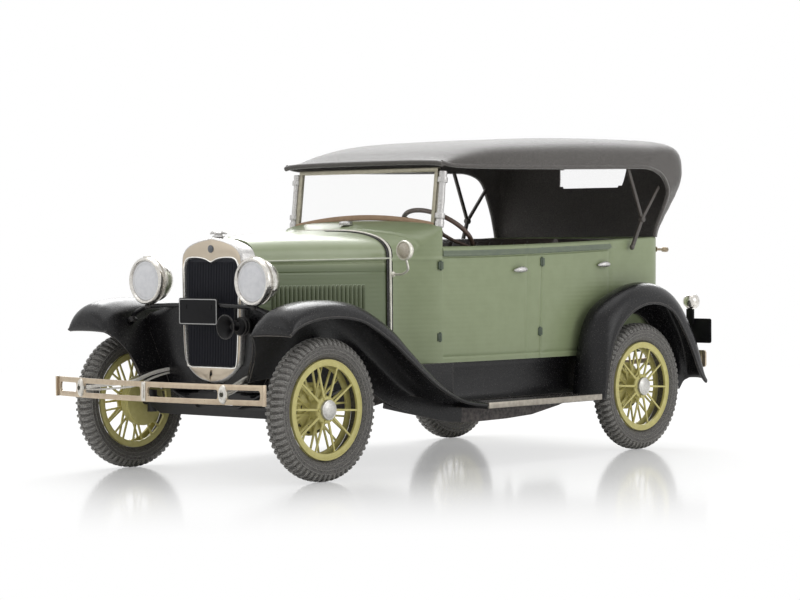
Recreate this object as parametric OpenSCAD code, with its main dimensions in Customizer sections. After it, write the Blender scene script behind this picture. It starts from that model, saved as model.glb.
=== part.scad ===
// A 1:87 scale model of an open touring car of about 1930, with a raised cloth top.
// Sizes are those of the full-size car in millimetres. Every node is then reduced by scale_ratio,
// so that the finished model measures its own 45 mm. X points to the car's left, Y to its rear,
// Z up, and the origin lies on the ground midway between the bumpers.

/* [Scale] */
// Reduction of the model: one to this many
scale_ratio = 87; // [64:1:120]

/* [Wheels and axles] */
// Distance between the axles
wheelbase = 2630; // [2200:10:3200]
// Distance between the wheels' middle planes
track = 1422; // [1360:2:1600]
// Outside diameter of the tyre
tyre_d = 730; // [600:2:880]
// Width of the tyre
tyre_w = 118; // [90:1:130]
// Outside diameter of the rim
rim_d = 512; // [430:2:540]
// Width of the flat face of the rim
rim_face = 34; // [20:1:50]
// Diameter of a spoke
spoke_d = 13; // [9:0.5:18]
// Diameter of the brake drum behind the spokes
drum_d = 270; // [200:2:340]
// Diameter of the stub axle that the wheel turns on
stub_d = 44; // [30:1:56]
// Running clearance between a stub axle and its wheel, on the radius
running_gap = 3; // [2:0.5:6]

/* [Fenders and running boards] */
// Clearance from the tyre's tread to the fender's edge
arch_gap = 100; // [60:2:160]
// Height of the fender's crown over its edge
crown_h = 90; // [50:2:130]
// Thickness of the pressed panels
sheet = 14; // [10:1:24]
// Distance the fender's edge stands outside the wheel's middle plane
fender_out = 124; // [90:2:150]
// Distance from the front axle to the tail of its fender
fender_tail = 1160; // [1000:10:1300]
// Height of the running board's top
board_z = 345; // [300:5:400]
// Thickness of the running board
board_t = 34; // [20:1:50]

/* [Body] */
// Width of the body at the middle pillar
body_w = 1276; // [1200:2:1290]
// Height of the body's lower edge
sill_z = 555; // [500:5:600]
// Height of the belt at the windscreen
belt_z = 1180; // [1100:5:1240]
// Rise of the belt from the windscreen to the rear
belt_rise = 50; // [0:2:80]
// Thickness of the body's wall
body_t = 36; // [24:1:60]
// Distance from the rear axle to the body's rear panel
body_tail = 375; // [320:5:420]
// Length of the bonnet
bonnet_l = 768; // [640:4:900]
// Length of the cowl, from the bonnet to the windscreen
cowl_l = 284; // [220:4:340]
// Height of the radiator shell's top
shell_z = 1216; // [1150:2:1260]
// Width of the radiator shell
shell_w = 452; // [400:2:500]

/* [Windscreen and top] */
// Height of the windscreen's upper edge
screen_z = 1596; // [1500:2:1700]
// Width of the windscreen's frame
screen_w = 1086; // [1000:2:1130]
// Height of the top's crown over the rear seat
top_z = 1826; // [1750:2:1950]
// Thickness of the cloth top
top_t = 20; // [14:1:30]

/* [Bumpers and lamps] */
// Distance from the front axle to the front bumper's face
front_overhang = 551; // [500:2:640]
// Distance from the rear axle to the rear bumperettes' face
rear_overhang = 614; // [600:2:720]
// Length of the front bumper
bumper_w = 1566; // [1300:2:1640]
// Height of the bumper's slotted bar
bumper_h = 112; // [80:2:130]
// Diameter of the headlamps
lamp_d = 246; // [180:2:270]

/* [Hidden] */
$fn = 48;

// Stations along the car and heights that several pieces share.
axle_z = tyre_d / 2;
front_y = (front_overhang - rear_overhang - wheelbase) / 2;
rear_y = front_y + wheelbase;
wheel_x = track / 2;
arch_r = axle_z + arch_gap;
fender_x = wheel_x + fender_out;
shell_y = front_y - 75;              // front face of the radiator shell
shell_depth = 102;
bonnet_y = shell_y + shell_depth;    // front edge of the bonnet
band_y = bonnet_y + bonnet_l;        // joint of bonnet and cowl
post_y = band_y + cowl_l;            // foot of the windscreen and front edge of the tub
tail_y = rear_y + body_tail;         // rear panel of the tub
shoulder_z = belt_z - 62;            // side moulding of bonnet and cowl
cowl_top_z = belt_z + 142;           // crown of the cowl under the windscreen
band_w = body_w * 0.724;             // width at the joint of bonnet and cowl
band_top_z = shell_z + 48;
frame_z = sill_z - 125;              // underside of the frame's rails
frame_h = 95;
rail_x = 330;
rail_w = 50;
floor_z = frame_z + frame_h;
floor_t = sill_z - floor_z;
hair = 1;                            // gap that keeps two pieces from overlapping
rake = 7;                            // lean of the windscreen, in degrees
lamp_z = axle_z + arch_r + 180;
lamp_x = 398;
lamp_y = front_y - 165;
bar_y = lamp_y + 14;                 // the headlamp bar's middle
bar_z = lamp_z - lamp_d / 2 + 14;    // its height under the lamps
drum_x = wheel_x - 118;              // inner face of the brake drum

function belt_at(y) = belt_z + belt_rise * pow(max(0, (y - post_y) / (tail_y - post_y)), 1.6);

// ---- curves and shells -------------------------------------------------------------------

// A point on the smooth curve through the points p, where u runs from 0 to len(p) - 1.
function spline_at(p, u) =
    let (n = len(p) - 1, i = min(floor(u), n - 1), t = u - i,
         a = p[max(i - 1, 0)], b = p[i], c = p[i + 1], d = p[min(i + 2, n)])
    0.5 * (2 * b + (c - a) * t + (2 * a - 5 * b + 4 * c - d) * t * t
        + (3 * b - a - 3 * c + d) * t * t * t);
function spline(p, steps) = [for (k = [0:steps]) spline_at(p, k * (len(p) - 1) / steps)];

function unit(v) = v / norm(v);
// The direction square to a flat path at its point i, to the left of its run.
function across(path, i) =
    let (d = unit(path[min(i + 1, len(path) - 1)] - path[max(i - 1, 0)])) [-d[1], d[0]];
// A flat path moved sideways by t.
function beside(path, t) = [for (i = [0:len(path) - 1]) path[i] + t * across(path, i)];

// Two triangles for the quad a, b, c, d.
function quad(a, b, c, d) = [[a, b, c], [a, c, d]];

// A closed sheet between two grids of points. The outer grid is seen from outside with its rows
// running up and its columns to the left.
module sheet_between(outer, inner) {
    rows = len(outer);
    cols = len(outer[0]);
    n = rows * cols;
    function at(r, c) = r * cols + c;
    faces = [
        for (r = [0:rows - 2], c = [0:cols - 2])
            each concat(quad(at(r, c), at(r, c + 1), at(r + 1, c + 1), at(r + 1, c)),
                quad(n + at(r + 1, c), n + at(r + 1, c + 1), n + at(r, c + 1), n + at(r, c))),
        for (c = [0:cols - 2])
            each concat(quad(n + at(0, c), n + at(0, c + 1), at(0, c + 1), at(0, c)),
                quad(at(rows - 1, c), at(rows - 1, c + 1), n + at(rows - 1, c + 1), n + at(rows - 1, c))),
        for (r = [0:rows - 2])
            each concat(quad(at(r, 0), at(r + 1, 0), n + at(r + 1, 0), n + at(r, 0)),
                quad(n + at(r, cols - 1), n + at(r + 1, cols - 1), at(r + 1, cols - 1), at(r, cols - 1)))
    ];
    polyhedron([for (g = [outer, inner], row = g, p = row) p], faces);
}

// The piece and its mirror image on the car's other side.
module both_sides() {
    children();
    mirror([1, 0, 0]) children();
}

// A round rod between two points.
module rod(a, b, d) {
    v = b - a;
    translate(a)
        rotate([0, acos(v[2] / norm(v)), atan2(v[1], v[0])]) cylinder(h = norm(v), d = d);
}

// An outline drawn in X and Z, extruded along Y from y0 to y1.
module along_y(y0, y1) {
    translate([0, y1, 0]) rotate([90, 0, 0]) linear_extrude(y1 - y0) children();
}

// ---- chassis -----------------------------------------------------------------------------

module chassis_frame() color("black") {
    rail_front = shell_y + 60;
    rail_rear = tail_y - 60;
    member_h = 30;
    kick_up = 62;
    difference() {
        both_sides()
            translate([rail_x - rail_w / 2, rail_front, frame_z])
                cube([rail_w, rail_rear - rail_front, frame_h]);
        // The rails pass over the rear spring.
        translate([-rail_x - rail_w, rear_y - 60, frame_z - 1]) cube([2 * (rail_x + rail_w), 120, kick_up]);
    }
    for (y = [front_y + 50, (front_y + rear_y) / 2, rear_y - 180, rear_y + 150])
        translate([-rail_x, y, floor_z - member_h]) cube([2 * rail_x, 70, member_h]);
}

module floor_pan() color("dimgray")
    translate([-floor_half(), post_y - 60, floor_z + hair])
        cube([2 * floor_half(), tail_y - 190 - post_y, floor_t]);
function floor_half() = body_w / 2 - body_t - 120;

module engine_sump() color("black") {
    sump_w = 260;
    sump_l = 560;
    gearbox_w = 170;
    hull() {
        translate([-sump_w / 2, front_y + 90, frame_z - 20]) cube([sump_w, sump_l, frame_h - 16]);
        translate([-sump_w / 4, front_y + 150, frame_z - 90]) cube([sump_w / 2, sump_l - 120, 10]);
    }
    hull() {
        translate([-gearbox_w / 2, front_y + 90 + sump_l, frame_z - 10]) cube([gearbox_w, 20, frame_h - 20]);
        translate([-gearbox_w / 4, front_y + 1060, frame_z + 10]) cube([gearbox_w / 2, 20, frame_h - 50]);
    }
}

module exhaust() color("dimgray") {
    muffler_d = 68;
    pipe_d = 40;
    pipe_x = rail_w / 2 + muffler_d / 2 + hair - rail_x;
    pipe_z = frame_z + 10;
    muffler_y = 240;
    rod([pipe_x, front_y + 700, pipe_z], [pipe_x, muffler_y + 10, pipe_z], pipe_d);
    rod([pipe_x, muffler_y, pipe_z], [pipe_x, muffler_y + 460, pipe_z], muffler_d);
    rod([pipe_x, muffler_y + 450, pipe_z], [pipe_x, rear_y - 190, pipe_z], pipe_d);
}

// The stub that carries one wheel, from the axle out to the hub cap.
module stub_axle(y) {
    translate([drum_x - 46, y, axle_z]) rotate([0, 90, 0])
        cylinder(h = wheel_x + hub_out - 6 - drum_x + 46, d = stub_d);
}

beam_drop = 62;
beam_h = 56;
module front_axle() color("black") {
    knuckle_x = drum_x - 40;
    spring_eye = 450;
    half = [[0, -beam_drop], [spring_eye, -beam_drop], [spring_eye + 50, -beam_drop + 26],
        [knuckle_x - 30, -beam_h / 2], [knuckle_x, -beam_h / 2]];
    lower = concat([for (i = [len(half) - 1:-1:1]) [-half[i][0], half[i][1]]], half);
    upper = [for (i = [len(lower) - 1:-1:0]) lower[i] + [0, beam_h]];
    translate([0, front_y, axle_z]) along_y(-24, 24) polygon(concat(lower, upper));
    both_sides() {
        translate([knuckle_x - 12, front_y, axle_z - 58]) cylinder(h = 116, d = 52);
        stub_axle(front_y);
        rod([spring_eye, front_y, axle_z - beam_drop + 20], [90, front_y + 900, frame_z + 10], 30);
    }
}

banjo_r = 128;
axle_tube_d = 78;
module rear_axle() color("black") {
    rod([-drum_x + 20, rear_y, axle_z], [drum_x - 20, rear_y, axle_z], axle_tube_d);
    translate([0, rear_y, axle_z]) rotate([90, 0, 0]) cylinder(h = 190, r = banjo_r, center = true);
    translate([0, rear_y, axle_z]) rotate([0, 90, 0]) cylinder(h = 130, r = banjo_r - 10, center = true);
    rod([0, front_y + 1090, frame_z + 15], [0, rear_y - 60, axle_z], 60);
    both_sides() stub_axle(rear_y);
}

// A cross spring: leaves of falling length in a shallow bow.
// Front view of a pack of bowed leaves, each shorter than the one below it.
function spring_outline(half, rise) = let (
    leaf_t = 11, leaves = 5, shorter = 0.16,
    bow = function(u) rise * (1 - u * u),
    under = [for (u = [-1:0.125:1]) [u * half, bow(u)]],
    steps = [for (k = [0:leaves - 1], s = [0, 1]) let (u = 1 - shorter * (k + s))
        [u * half, bow(u) + (k + 1) * leaf_t]],
    crown = [[0, rise + leaves * leaf_t]])
    concat(under, steps, crown, [for (i = [len(steps) - 1:-1:0]) [-steps[i][0], steps[i][1]]]);

module cross_spring(y, z, half, rise) {
    translate([0, y, z]) along_y(-22, 22) polygon(spring_outline(half, rise));
}
module front_spring() color("black") {
    low = axle_z - beam_drop + beam_h + hair;
    cross_spring(front_y, low, 440, 18);
}
module rear_spring() color("black") {
    difference() {
        cross_spring(rear_y, axle_z + axle_tube_d / 2 + 4 * hair, 520, 60);
        translate([0, rear_y, axle_z]) rotate([90, 0, 0])
            cylinder(h = 400, r = banjo_r + 2 * hair, center = true);
    }
}

// ---- wheels ------------------------------------------------------------------------------

// The wheels are drawn round the X axis, with their outer face towards +X.
module turned() rotate([0, 90, 0]) rotate_extrude() children();

module tyre() color("#2b2b2b") {
    r = tyre_d / 2;
    bead = rim_d / 2;
    half = tyre_w / 2;
    turned() polygon([for (q = [
        [bead, -half * 0.52], [bead + 26, -half * 0.82], [(r + bead) / 2 + 10, -half], [r - 16, -half * 0.84],
        [r - 3, -half * 0.5], [r, 0], [r - 3, half * 0.5], [r - 16, half * 0.84],
        [(r + bead) / 2 + 10, half], [bead + 26, half * 0.82], [bead, half * 0.52]]) q]);
}

rim_x = 45;                          // half the rim's width
disc_t = 16;                         // thickness of a rim ring and its spokes
hub_out = 48;                        // outer end of the hub's barrel, from the wheel's middle plane
hub_in = -118;                       // inner end of the hub, at the back of the drum
hub_d = 110;
spoke_pairs = 10;

// A flat spoke in the disc whose outer face is at x, from the hub at angle a to the rim at angle b.
module spoke(x, a, b) {
    p = (hub_d / 2 - 8) * [cos(a), sin(a)];
    q = (rim_d / 2 - rim_face + 6) * [cos(b), sin(b)];
    translate([x - disc_t + 3, p[0], p[1]]) rotate([atan2(q[1] - p[1], q[0] - p[0]), 0, 0])
        translate([0, 0, -spoke_d / 2]) cube([disc_t - 6, norm(q - p), spoke_d]);
}

module spoked_wheel() color("#9aa13a") difference() {
    rim_r = rim_d / 2 - hair;
    flange_r = hub_d / 2 + 14;
    union() {
        for (x = [rim_x, disc_t - rim_x])
            turned() translate([rim_r - rim_face, x - disc_t]) square([rim_face, disc_t]);
        translate([hub_in, 0, 0]) rotate([0, 90, 0]) cylinder(h = hub_out - hub_in, d = hub_d);
        translate([rim_x - disc_t, 0, 0]) rotate([0, 90, 0]) cylinder(h = disc_t - 2, r = flange_r);
        translate([hub_in, 0, 0]) rotate([0, 90, 0]) cylinder(h = 56, d = drum_d);
        translate([hub_in + 56, 0, 0]) rotate([0, 90, 0]) cylinder(h = 10, d = drum_d - 50);
        for (i = [0:spoke_pairs - 1]) {
            a = i * 360 / spoke_pairs;
            spoke(rim_x, a, a);
            for (turn = [-1, 1]) spoke(disc_t - rim_x, a + 18 - turn * 14, a + 18 + turn * 9);
        }
    }
    translate([hub_in - 1, 0, 0]) rotate([0, 90, 0])
        cylinder(h = hub_out - hub_in + 2, r = stub_d / 2 + running_gap);
}

module hub_cap() color("silver") {
    r = hub_d / 2 - 2;
    x0 = hub_out + hair;
    turned() polygon([[0, x0], [r, x0], [r, x0 + 10], [r - 4, x0 + 17], [r - 16, x0 + 22], [0, x0 + 24]]);
}

// Puts a piece that is drawn round the X axis at one of the four wheels.
module at_wheel(left, front)
    translate([left ? wheel_x : -wheel_x, front ? front_y : rear_y, axle_z])
        mirror([left ? 0 : 1, 0, 0]) children();

// ---- fenders and running boards ----------------------------------------------------------

// Edge of the front fender, as distances behind and above the front axle.
front_edge = spline([[-arch_r * 0.71, arch_r * 0.82], [-arch_r * 0.58, arch_r * 0.905],
    [-arch_r * 0.33, arch_r * 0.972], [-arch_r * 0.05, arch_r * 0.992], [arch_r * 0.22, arch_r * 0.975],
    [arch_r * 0.48, arch_r * 0.91], [arch_r * 0.86, arch_r * 0.712],
    [fender_tail - 632, board_z - axle_z + 262],
    [fender_tail - 436, board_z - axle_z + 126], [fender_tail - 290, board_z - axle_z + 50],
    [fender_tail - 160, board_z - axle_z + 6], [fender_tail, board_z - axle_z - board_t / 2]], 26);
// Edge of the rear fender, as distances behind and above the rear axle.
rear_edge = spline([[-arch_r * 0.955, board_z - axle_z - board_t], [-arch_r * 0.8, arch_r * 0.5],
    [-arch_r * 0.52, arch_r * 0.86], [-arch_r * 0.06, arch_r * 1.02], [arch_r * 0.4, arch_r * 0.93],
    [arch_r * 0.74, arch_r * 0.56], [arch_r * 1.0, arch_r * 0.13], [arch_r * 1.13, 0]], 20);

function ramp(t) = let (s = min(1, max(0, t))) s * s * (3 - 2 * s);
function mix(a, b, t) = a + (b - a) * t;

// The cross section of a front fender at share s of its length, as [x, height over the edge].
function front_section(s) = let (
    tip = sqrt(ramp(s / 0.13)), foot = ramp((s - 0.5) / 0.42), drop = ramp(s / 0.1),
    crown = crown_h * mix(0.12, 1, tip) * (1 - 0.72 * foot),
    top_x = mix(540, 560, foot), low_x = mix(mix(536, rail_x + 64, drop), 555, ramp((s - 0.3) / 0.3)),
    skirt = mix(mix(8, 285, drop), 62, ramp((s - 0.22) / 0.4)))
    [[fender_x, 0], [fender_x - 6, crown * 0.42], [fender_x - 34, crown * 0.78],
     [fender_x - 78, crown * 0.97], [fender_x - 124, crown], [fender_x - 180, crown * 0.97],
     [mix(top_x, fender_x, 0.24), crown * 0.8], [mix(top_x, fender_x, 0.08), crown * 0.45],
     [top_x, -crown * 0.1], [mix(top_x, low_x, 0.5), -skirt * 0.5], [low_x, -skirt]];

rear_crown = crown_h + 34;
nose_share = 0.3;                    // crown of the rear fender's nose, as a share
nose_y = rear_y - arch_r * 0.955 - rear_crown * nose_share - 3 * hair;

// The cross section of a rear fender: it rises from the edge and turns down beside the tub.
function rear_section(s) = let (
    nose = ramp(s / 0.25), end = ramp((s - 0.72) / 0.28),
    crown = rear_crown * mix(nose_share, 1, nose) * (1 - 0.6 * end),
    inner = body_w / 2 + 3 + 8 * end, skirt = 56)
    [[fender_x, 0], [fender_x - 5, crown * 0.42], [fender_x - 30, crown * 0.76],
     [fender_x - 66, crown * 0.95],
     [fender_x - 104, crown], [fender_x - 146, crown * 0.93], [inner + 26, crown * 0.72],
     [inner + 8, crown * 0.42], [inner, -4], [inner, -skirt]];

// A pressed panel: a cross section that changes along an edge line in Y and Z.
module fender(edge, sections, y, z) {
    n = len(edge) - 1;
    function placed(i, q) = let (up = across(edge, i))
        [q[0], y + edge[i][0] + up[0] * q[1], z + edge[i][1] + up[1] * q[1]];
    outer = [for (i = [0:n]) [for (q = sections[i]) placed(i, q)]];
    inner = [for (i = [0:n]) [for (q = beside(sections[i], sheet)) placed(i, q)]];
    sheet_between(outer, inner);
}

module front_fender() color("#1c1c1e")
    fender(front_edge, [for (i = [0:26]) front_section(i / 26)], front_y, axle_z);
module rear_fender() color("#1c1c1e")
    fender(rear_edge, [for (i = [0:20]) rear_section(i / 20)], rear_y, axle_z);

tail_fender_y = front_y + fender_tail;
module running_board() color("#1c1c1e") {
    inner_x = body_w / 2 - 60;
    y0 = tail_fender_y + 4 * hair;
    translate([inner_x, y0, board_z - board_t]) cube([fender_x - inner_x, nose_y - y0, board_t]);
}

// Aprons that close the space between the sill and the running board and front fender.
module splash_aprons() color("#1c1c1e") both_sides() {
    x0 = body_w / 2 - 76;
    wall = 22;
    low = board_z + hair;
    mid = (sill_z + low) / 2;
    along_y(tail_fender_y + 4 * hair, nose_y) polygon([[x0, sill_z - hair], [x0 + wall, sill_z - hair],
        [x0 + wall - 10, mid + 16], [x0 + wall + 12, low + 34], [x0 + wall + 44, low], [x0 + wall + 12, low],
        [x0 - 4, low + 22], [x0 - 16, mid]]);
    translate([x0, 0, 0]) rotate([90, 0, 90]) linear_extrude(wall) polygon([
        [tail_fender_y + 5 * hair, sill_z - hair], [tail_fender_y - 420, sill_z - hair],
        [tail_fender_y - 300, board_z + 158], [tail_fender_y - 190, board_z + 92],
        [tail_fender_y - 90, board_z + 56], [tail_fender_y + 5 * hair, board_z + 40]]);
}

// ---- bonnet, cowl and tub ----------------------------------------------------------------

// An arch in X and Z from the lower left edge over the crown to the lower right one.
function arch(half, low, shoulder, top, power = 0.72) = let (
    side = [for (k = [0:3]) [half, mix(low, shoulder, k / 3)]],
    bend = [for (k = [1:9]) let (t = k * 10)
        [half * pow(cos(t), power), shoulder + (top - shoulder) * pow(sin(t), power)]],
    left = concat(side, bend))
    concat(left, [for (i = [len(left) - 2:-1:0]) [-left[i][0], left[i][1]]]);

module arched_shell(stations, thick) {
    sheet_between(
        [for (s = stations) [for (q = s[1]) [q[0], s[0], q[1]]]],
        [for (s = stations) [for (q = beside(s[1], thick)) [q[0], s[0], q[1]]]]);
}

bonnet_t = 26;
module bonnet() color("#8aa77a")
    arched_shell([for (k = [0:6]) let (t = k / 6)
        [mix(bonnet_y + hair, band_y - hair, t),
         arch(mix(shell_w / 2 - 8, band_w / 2, t), sill_z + 45, mix(shell_z - 106, shoulder_z, t),
              mix(shell_z - 3, band_top_z, 1 - (1 - t) * (1 - t) * (1 - 0.2 * t)))]], bonnet_t);

// The cowl's outline at share t of its length.
function cowl_arch(t) = arch(mix(band_w / 2, front_half(), ramp(t) * 0.5 + t * 0.5), sill_z,
    mix(shoulder_z, belt_z + 92, t * t), mix(band_top_z, cowl_top_z, t), mix(0.72, 0.9, t));
module cowl() color("#8aa77a")
    arched_shell([for (t = [0:0.2:1.01]) [mix(band_y + hair, post_y - hair, t), cowl_arch(t)]], body_t);

module cowl_band() color("#d8d2b8") {
    band = 18;
    proud = 6;
    lift = proud + 5 * hair;
    arched_shell([for (y = [band_y - band / 2, band_y + band / 2])
        [y, beside(arch(band_w / 2, sill_z + 20, shoulder_z, band_top_z), -lift)]], proud);
}

function front_half() = body_w / 2 - 50;

// The tub's outline from the left front round the back to the right front.
function tub_plan() = let (
    left = spline([[front_half(), post_y], [body_w / 2 - 14, mix(post_y, tail_y, 0.16)],
        [body_w / 2, mix(post_y, tail_y, 0.4)], [body_w / 2 - 8, mix(post_y, tail_y, 0.66)],
        [body_w / 2 - 16, mix(post_y, tail_y, 0.86)], [body_w / 2 - 50, tail_y - 60],
        [body_w / 2 - 160, tail_y - 6], [body_w / 2 - 330, tail_y], [0, tail_y + 4]], 32))
    concat(left, [for (i = [len(left) - 2:-1:0]) [-left[i][0], left[i][1]]]);

// The plan p lifted to share t of the side's height. The side leans in a little towards the sill.
function tub_level(p, t) = let (tuck = 1 - 0.018 * pow(1 - t, 2))
    [for (q = p) [q[0] * tuck, q[1], mix(sill_z, belt_at(q[1]), t)]];

module body_tub() color("#8aa77a") {
    plan = tub_plan();
    inner = beside(plan, body_t);
    shares = [0:0.2:1];
    sheet_between([for (t = shares) tub_level(plan, t)], [for (t = shares) tub_level(inner, t)]);
}

module dashboard() color("#8aa77a") {
    inset = body_t + 8;
    y = post_y - 36;
    along_y(y, y + 26)
        polygon(arch(front_half() - 8 - inset, belt_z - 170, belt_z + 60 - inset,
            cowl_top_z - 20 - inset, 0.88));
}

// ---- radiator ----------------------------------------------------------------------------

// Front view of the radiator shell, grown outwards by g.
function shell_outline(g) = let (
    w = shell_w / 2 + g, low = shell_z - 737 - g,
    half = spline([[0, low], [w * 0.42, low + 18], [w * 0.8, low + 74], [w * 0.955, low + 160],
        [w, shell_z - 290], [w, shell_z - 110], [w * 0.9, shell_z - 48 + g], [w * 0.56, shell_z - 12 + g],
        [0, shell_z + 2 + g]], 24))
    concat(half, [for (i = [len(half) - 2:-1:1]) [-half[i][0], half[i][1]]]);

// The opening in front of the core, with two humps at its top.
function grille_outline() = let (
    w = shell_w / 2 - 31, low = shell_z - 651, top = shell_z - 118,
    half = [[0, low], [w * 0.8, low], [w * 0.88, low + 12], [w, top - 50], [w * 0.93, top - 14],
        [w * 0.66, top + 3], [w * 0.3, top - 4], [w * 0.1, top - 18], [0, top - 34]])
    concat(half, [for (i = [len(half) - 2:-1:1]) [-half[i][0], half[i][1]]]);

module radiator_shell() color("#c9c2ae") difference() {
    along_y(shell_y, shell_y + shell_depth) polygon(shell_outline(0));
    along_y(shell_y - 1, shell_y + 31) polygon(grille_outline());
    along_y(shell_y + 30, shell_y + shell_depth + 1) polygon(shell_outline(-14));
}

module radiator_core() color("#26262a")
    along_y(shell_y + 32, shell_y + 88) polygon(shell_outline(-20));

module filler_caps() color("silver") {
    translate([0, shell_y + 55, shell_z + 3]) {
        cylinder(h = 10, d = 62);
        translate([0, 0, 10]) cylinder(h = 14, d = 40);
        translate([0, 0, 22]) rotate([0, 0, 20]) cube([92, 20, 12], center = true);
    }
    translate([0, (band_y + post_y) / 2 + 10, mix(band_top_z, cowl_top_z, 0.7)]) cylinder(h = 16, d = 74);
}

// ---- windscreen --------------------------------------------------------------------------

screen_low = belt_z + 100;
screen_h = screen_z - screen_low;
// Puts a piece that is drawn standing over the windscreen's foot into its rake.
module raked() translate([0, post_y + 14, screen_low]) rotate([-rake, 0, 0]) children();
function screen_foot(half, lift) =
    [for (x = [-half:half / 8:half + 1]) [x, lift + (cowl_top_z - screen_low + 4) * (1 - pow(x / half, 2))]];

module windscreen_frame() color("#b9aa90") raked() {
    half = screen_w / 2;
    bar = 24;
    along_y(-10, 10) difference() {
        polygon(concat(screen_foot(half, 0), [[half, screen_h], [-half, screen_h]]));
        polygon(concat(screen_foot(half - bar, bar),
            [[half - bar, screen_h - bar], [-half + bar, screen_h - bar]]));
    }
}

module windscreen_glass() color([0.9, 0.95, 1, 0.3]) raked() {
    half = screen_w / 2 - 24 - hair;
    along_y(-3, 3)
        polygon(concat(screen_foot(half, 24 + hair),
            [[half, screen_h - 24 - hair], [-half, screen_h - 24 - hair]]));
}

module windscreen_posts() color("silver") raked() both_sides() {
    x = screen_w / 2 + 27;
    translate([x, 4, 8]) cylinder(h = screen_h - 12, d = 38);
    translate([x, 4, 7]) cylinder(h = 37, d = 50);
    translate([x, 4, screen_h - 40]) cylinder(h = 36, d = 46);
}

// ---- cloth top ---------------------------------------------------------------------------

header_y = post_y + 20;
header_z = screen_z + 6;
// The top's middle line in Y and Z, from the header over the crown and down the back.
top_line = spline([[header_y - 36, header_z + 30], [header_y + 40, mix(header_z, top_z, 0.38)],
    [header_y + 210, mix(header_z, top_z, 0.66)], [header_y + 640, top_z - 46],
    [header_y + 1180, top_z - 22], [rear_y + 80, top_z], [rear_y + 330, top_z - 10],
    [rear_y + 510, top_z - 46], [rear_y + 600, top_z - 116], [rear_y + 596, top_z - 210],
    [rear_y + 506, top_z - 390], [tail_y + 14, belt_z + belt_rise + 3]], 33);

// Half of the top's cross section at share s, as [x, depth below the middle line].
function top_section(s) = let (
    rear = ramp((s - 0.62) / 0.16), front = 1 - ramp(s / 0.12), low = ramp((s - 0.82) / 0.18),
    half = mix(mix(648, 655, ramp(s / 0.3)), body_w / 2 - 24, low),
    bow = mix(mix(108, 16, front), 30, rear),
    side = mix(mix(178, 42, front), mix(262, 150, low), rear),
    p = [[0, 0], [half * 0.3, bow * 0.08], [half * 0.58, bow * 0.34], [half * 0.8, bow * 0.72],
         [half * 0.93, bow + 6], [half * 0.99, bow + mix(24, 60, rear)],
         [half, mix(bow, side, 0.62) + 8], [half - 2, side]])
    concat([for (i = [len(p) - 1:-1:1]) p[i]], [for (q = p) [-q[0], q[1]]]);

// The point of the top that lies q[0] from the middle and q[1] under station i of the middle line.
function on_top(i, q) = let (m = across(top_line, i))
    [q[0], top_line[i][0] - m[0] * q[1], top_line[i][1] - m[1] * q[1]];

module soft_top() color("#4a4747") {
    n = len(top_line) - 1;
    sections = [for (i = [0:n]) top_section(i / n)];
    difference() {
        sheet_between([for (i = [0:n]) [for (q = sections[i]) on_top(i, q)]],
            [for (i = [0:n]) [for (q = beside(sections[i], -top_t)) on_top(i, q)]]);
        rear_window_hole(0);
    }
}

window_w = 470;
window_h = 150;
// The opening in the back curtain, less g all round.
module rear_window_hole(g)
    along_y(rear_y + 250, rear_y + 800)
        translate([0, top_z - 275])
            offset(20) square([window_w - 40 - 2 * g, window_h - 40 - 2 * g], center = true);

module rear_window() color([0.9, 0.95, 1, 0.3]) {
    curtain = [20:len(top_line) - 3];
    half = window_w / 2 + 40;
    intersection() {
        sheet_between([for (i = curtain) [for (x = [half, -half]) on_top(i, [x, 7])]],
            [for (i = curtain) [for (x = [half, -half]) on_top(i, [x, 12])]]);
        rear_window_hole(hair);
    }
}

module top_irons() color("#2a2a2c") both_sides() {
    joint = [body_w / 2 - 4, rear_y + 113, belt_z + 176];
    foot = [body_w / 2 + 17, rear_y + 27, belt_z - 20];
    rod(foot, joint, 22);
    rod(joint, [body_w / 2 - 36, rear_y - 22, header_z + 6], 22);
    rod(joint, [body_w / 2 - 36, rear_y + 262, belt_z + 312], 22);
    translate(joint - [14, 0, 0]) rotate([0, 90, 0]) cylinder(h = 28, d = 36);
}

module top_rests() color("#8a7c62") both_sides() {
    z = belt_z - 25;
    x = body_w / 2 - 70;
    rod([x, tail_y - 32, z], [x, tail_y + 84, z - 6], 16);
    translate([x, tail_y + 96, z - 4]) rotate([-4, 0, 0]) cube([34, 52, 26], center = true);
}

// ---- inside ------------------------------------------------------------------------------

module bench(y, half, cushion_l, back_top) {
    base_z = floor_z + floor_t + 2 * hair;
    seat_z = base_z + 250;
    translate([-half, y, base_z]) cube([2 * half, cushion_l - 40, seat_z - base_z - 110]);
    hull() for (x = [-half + 40, half - 40], dy = [40, cushion_l - 40])
        translate([x, y + dy, seat_z - 108]) cylinder(h = 108, r = 40, $fn = 24);
    hull() for (x = [-half + 45, half - 45]) {
        translate([x, y + cushion_l + 22, seat_z - 20]) cylinder(h = 20, r = 42, $fn = 24);
        translate([x, y + cushion_l + 76, back_top - 44]) sphere(r = 42, $fn = 24);
    }
}
front_seat_y = post_y + 480;
rear_seat_y = tail_y - 650;
module front_seat() color("#2c2624") bench(front_seat_y, body_w / 2 - body_t - 40, 440, belt_z + 44);
module rear_seat() color("#2c2624") bench(rear_seat_y, body_w / 2 - body_t - 80, 460, belt_z + 40);

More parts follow.
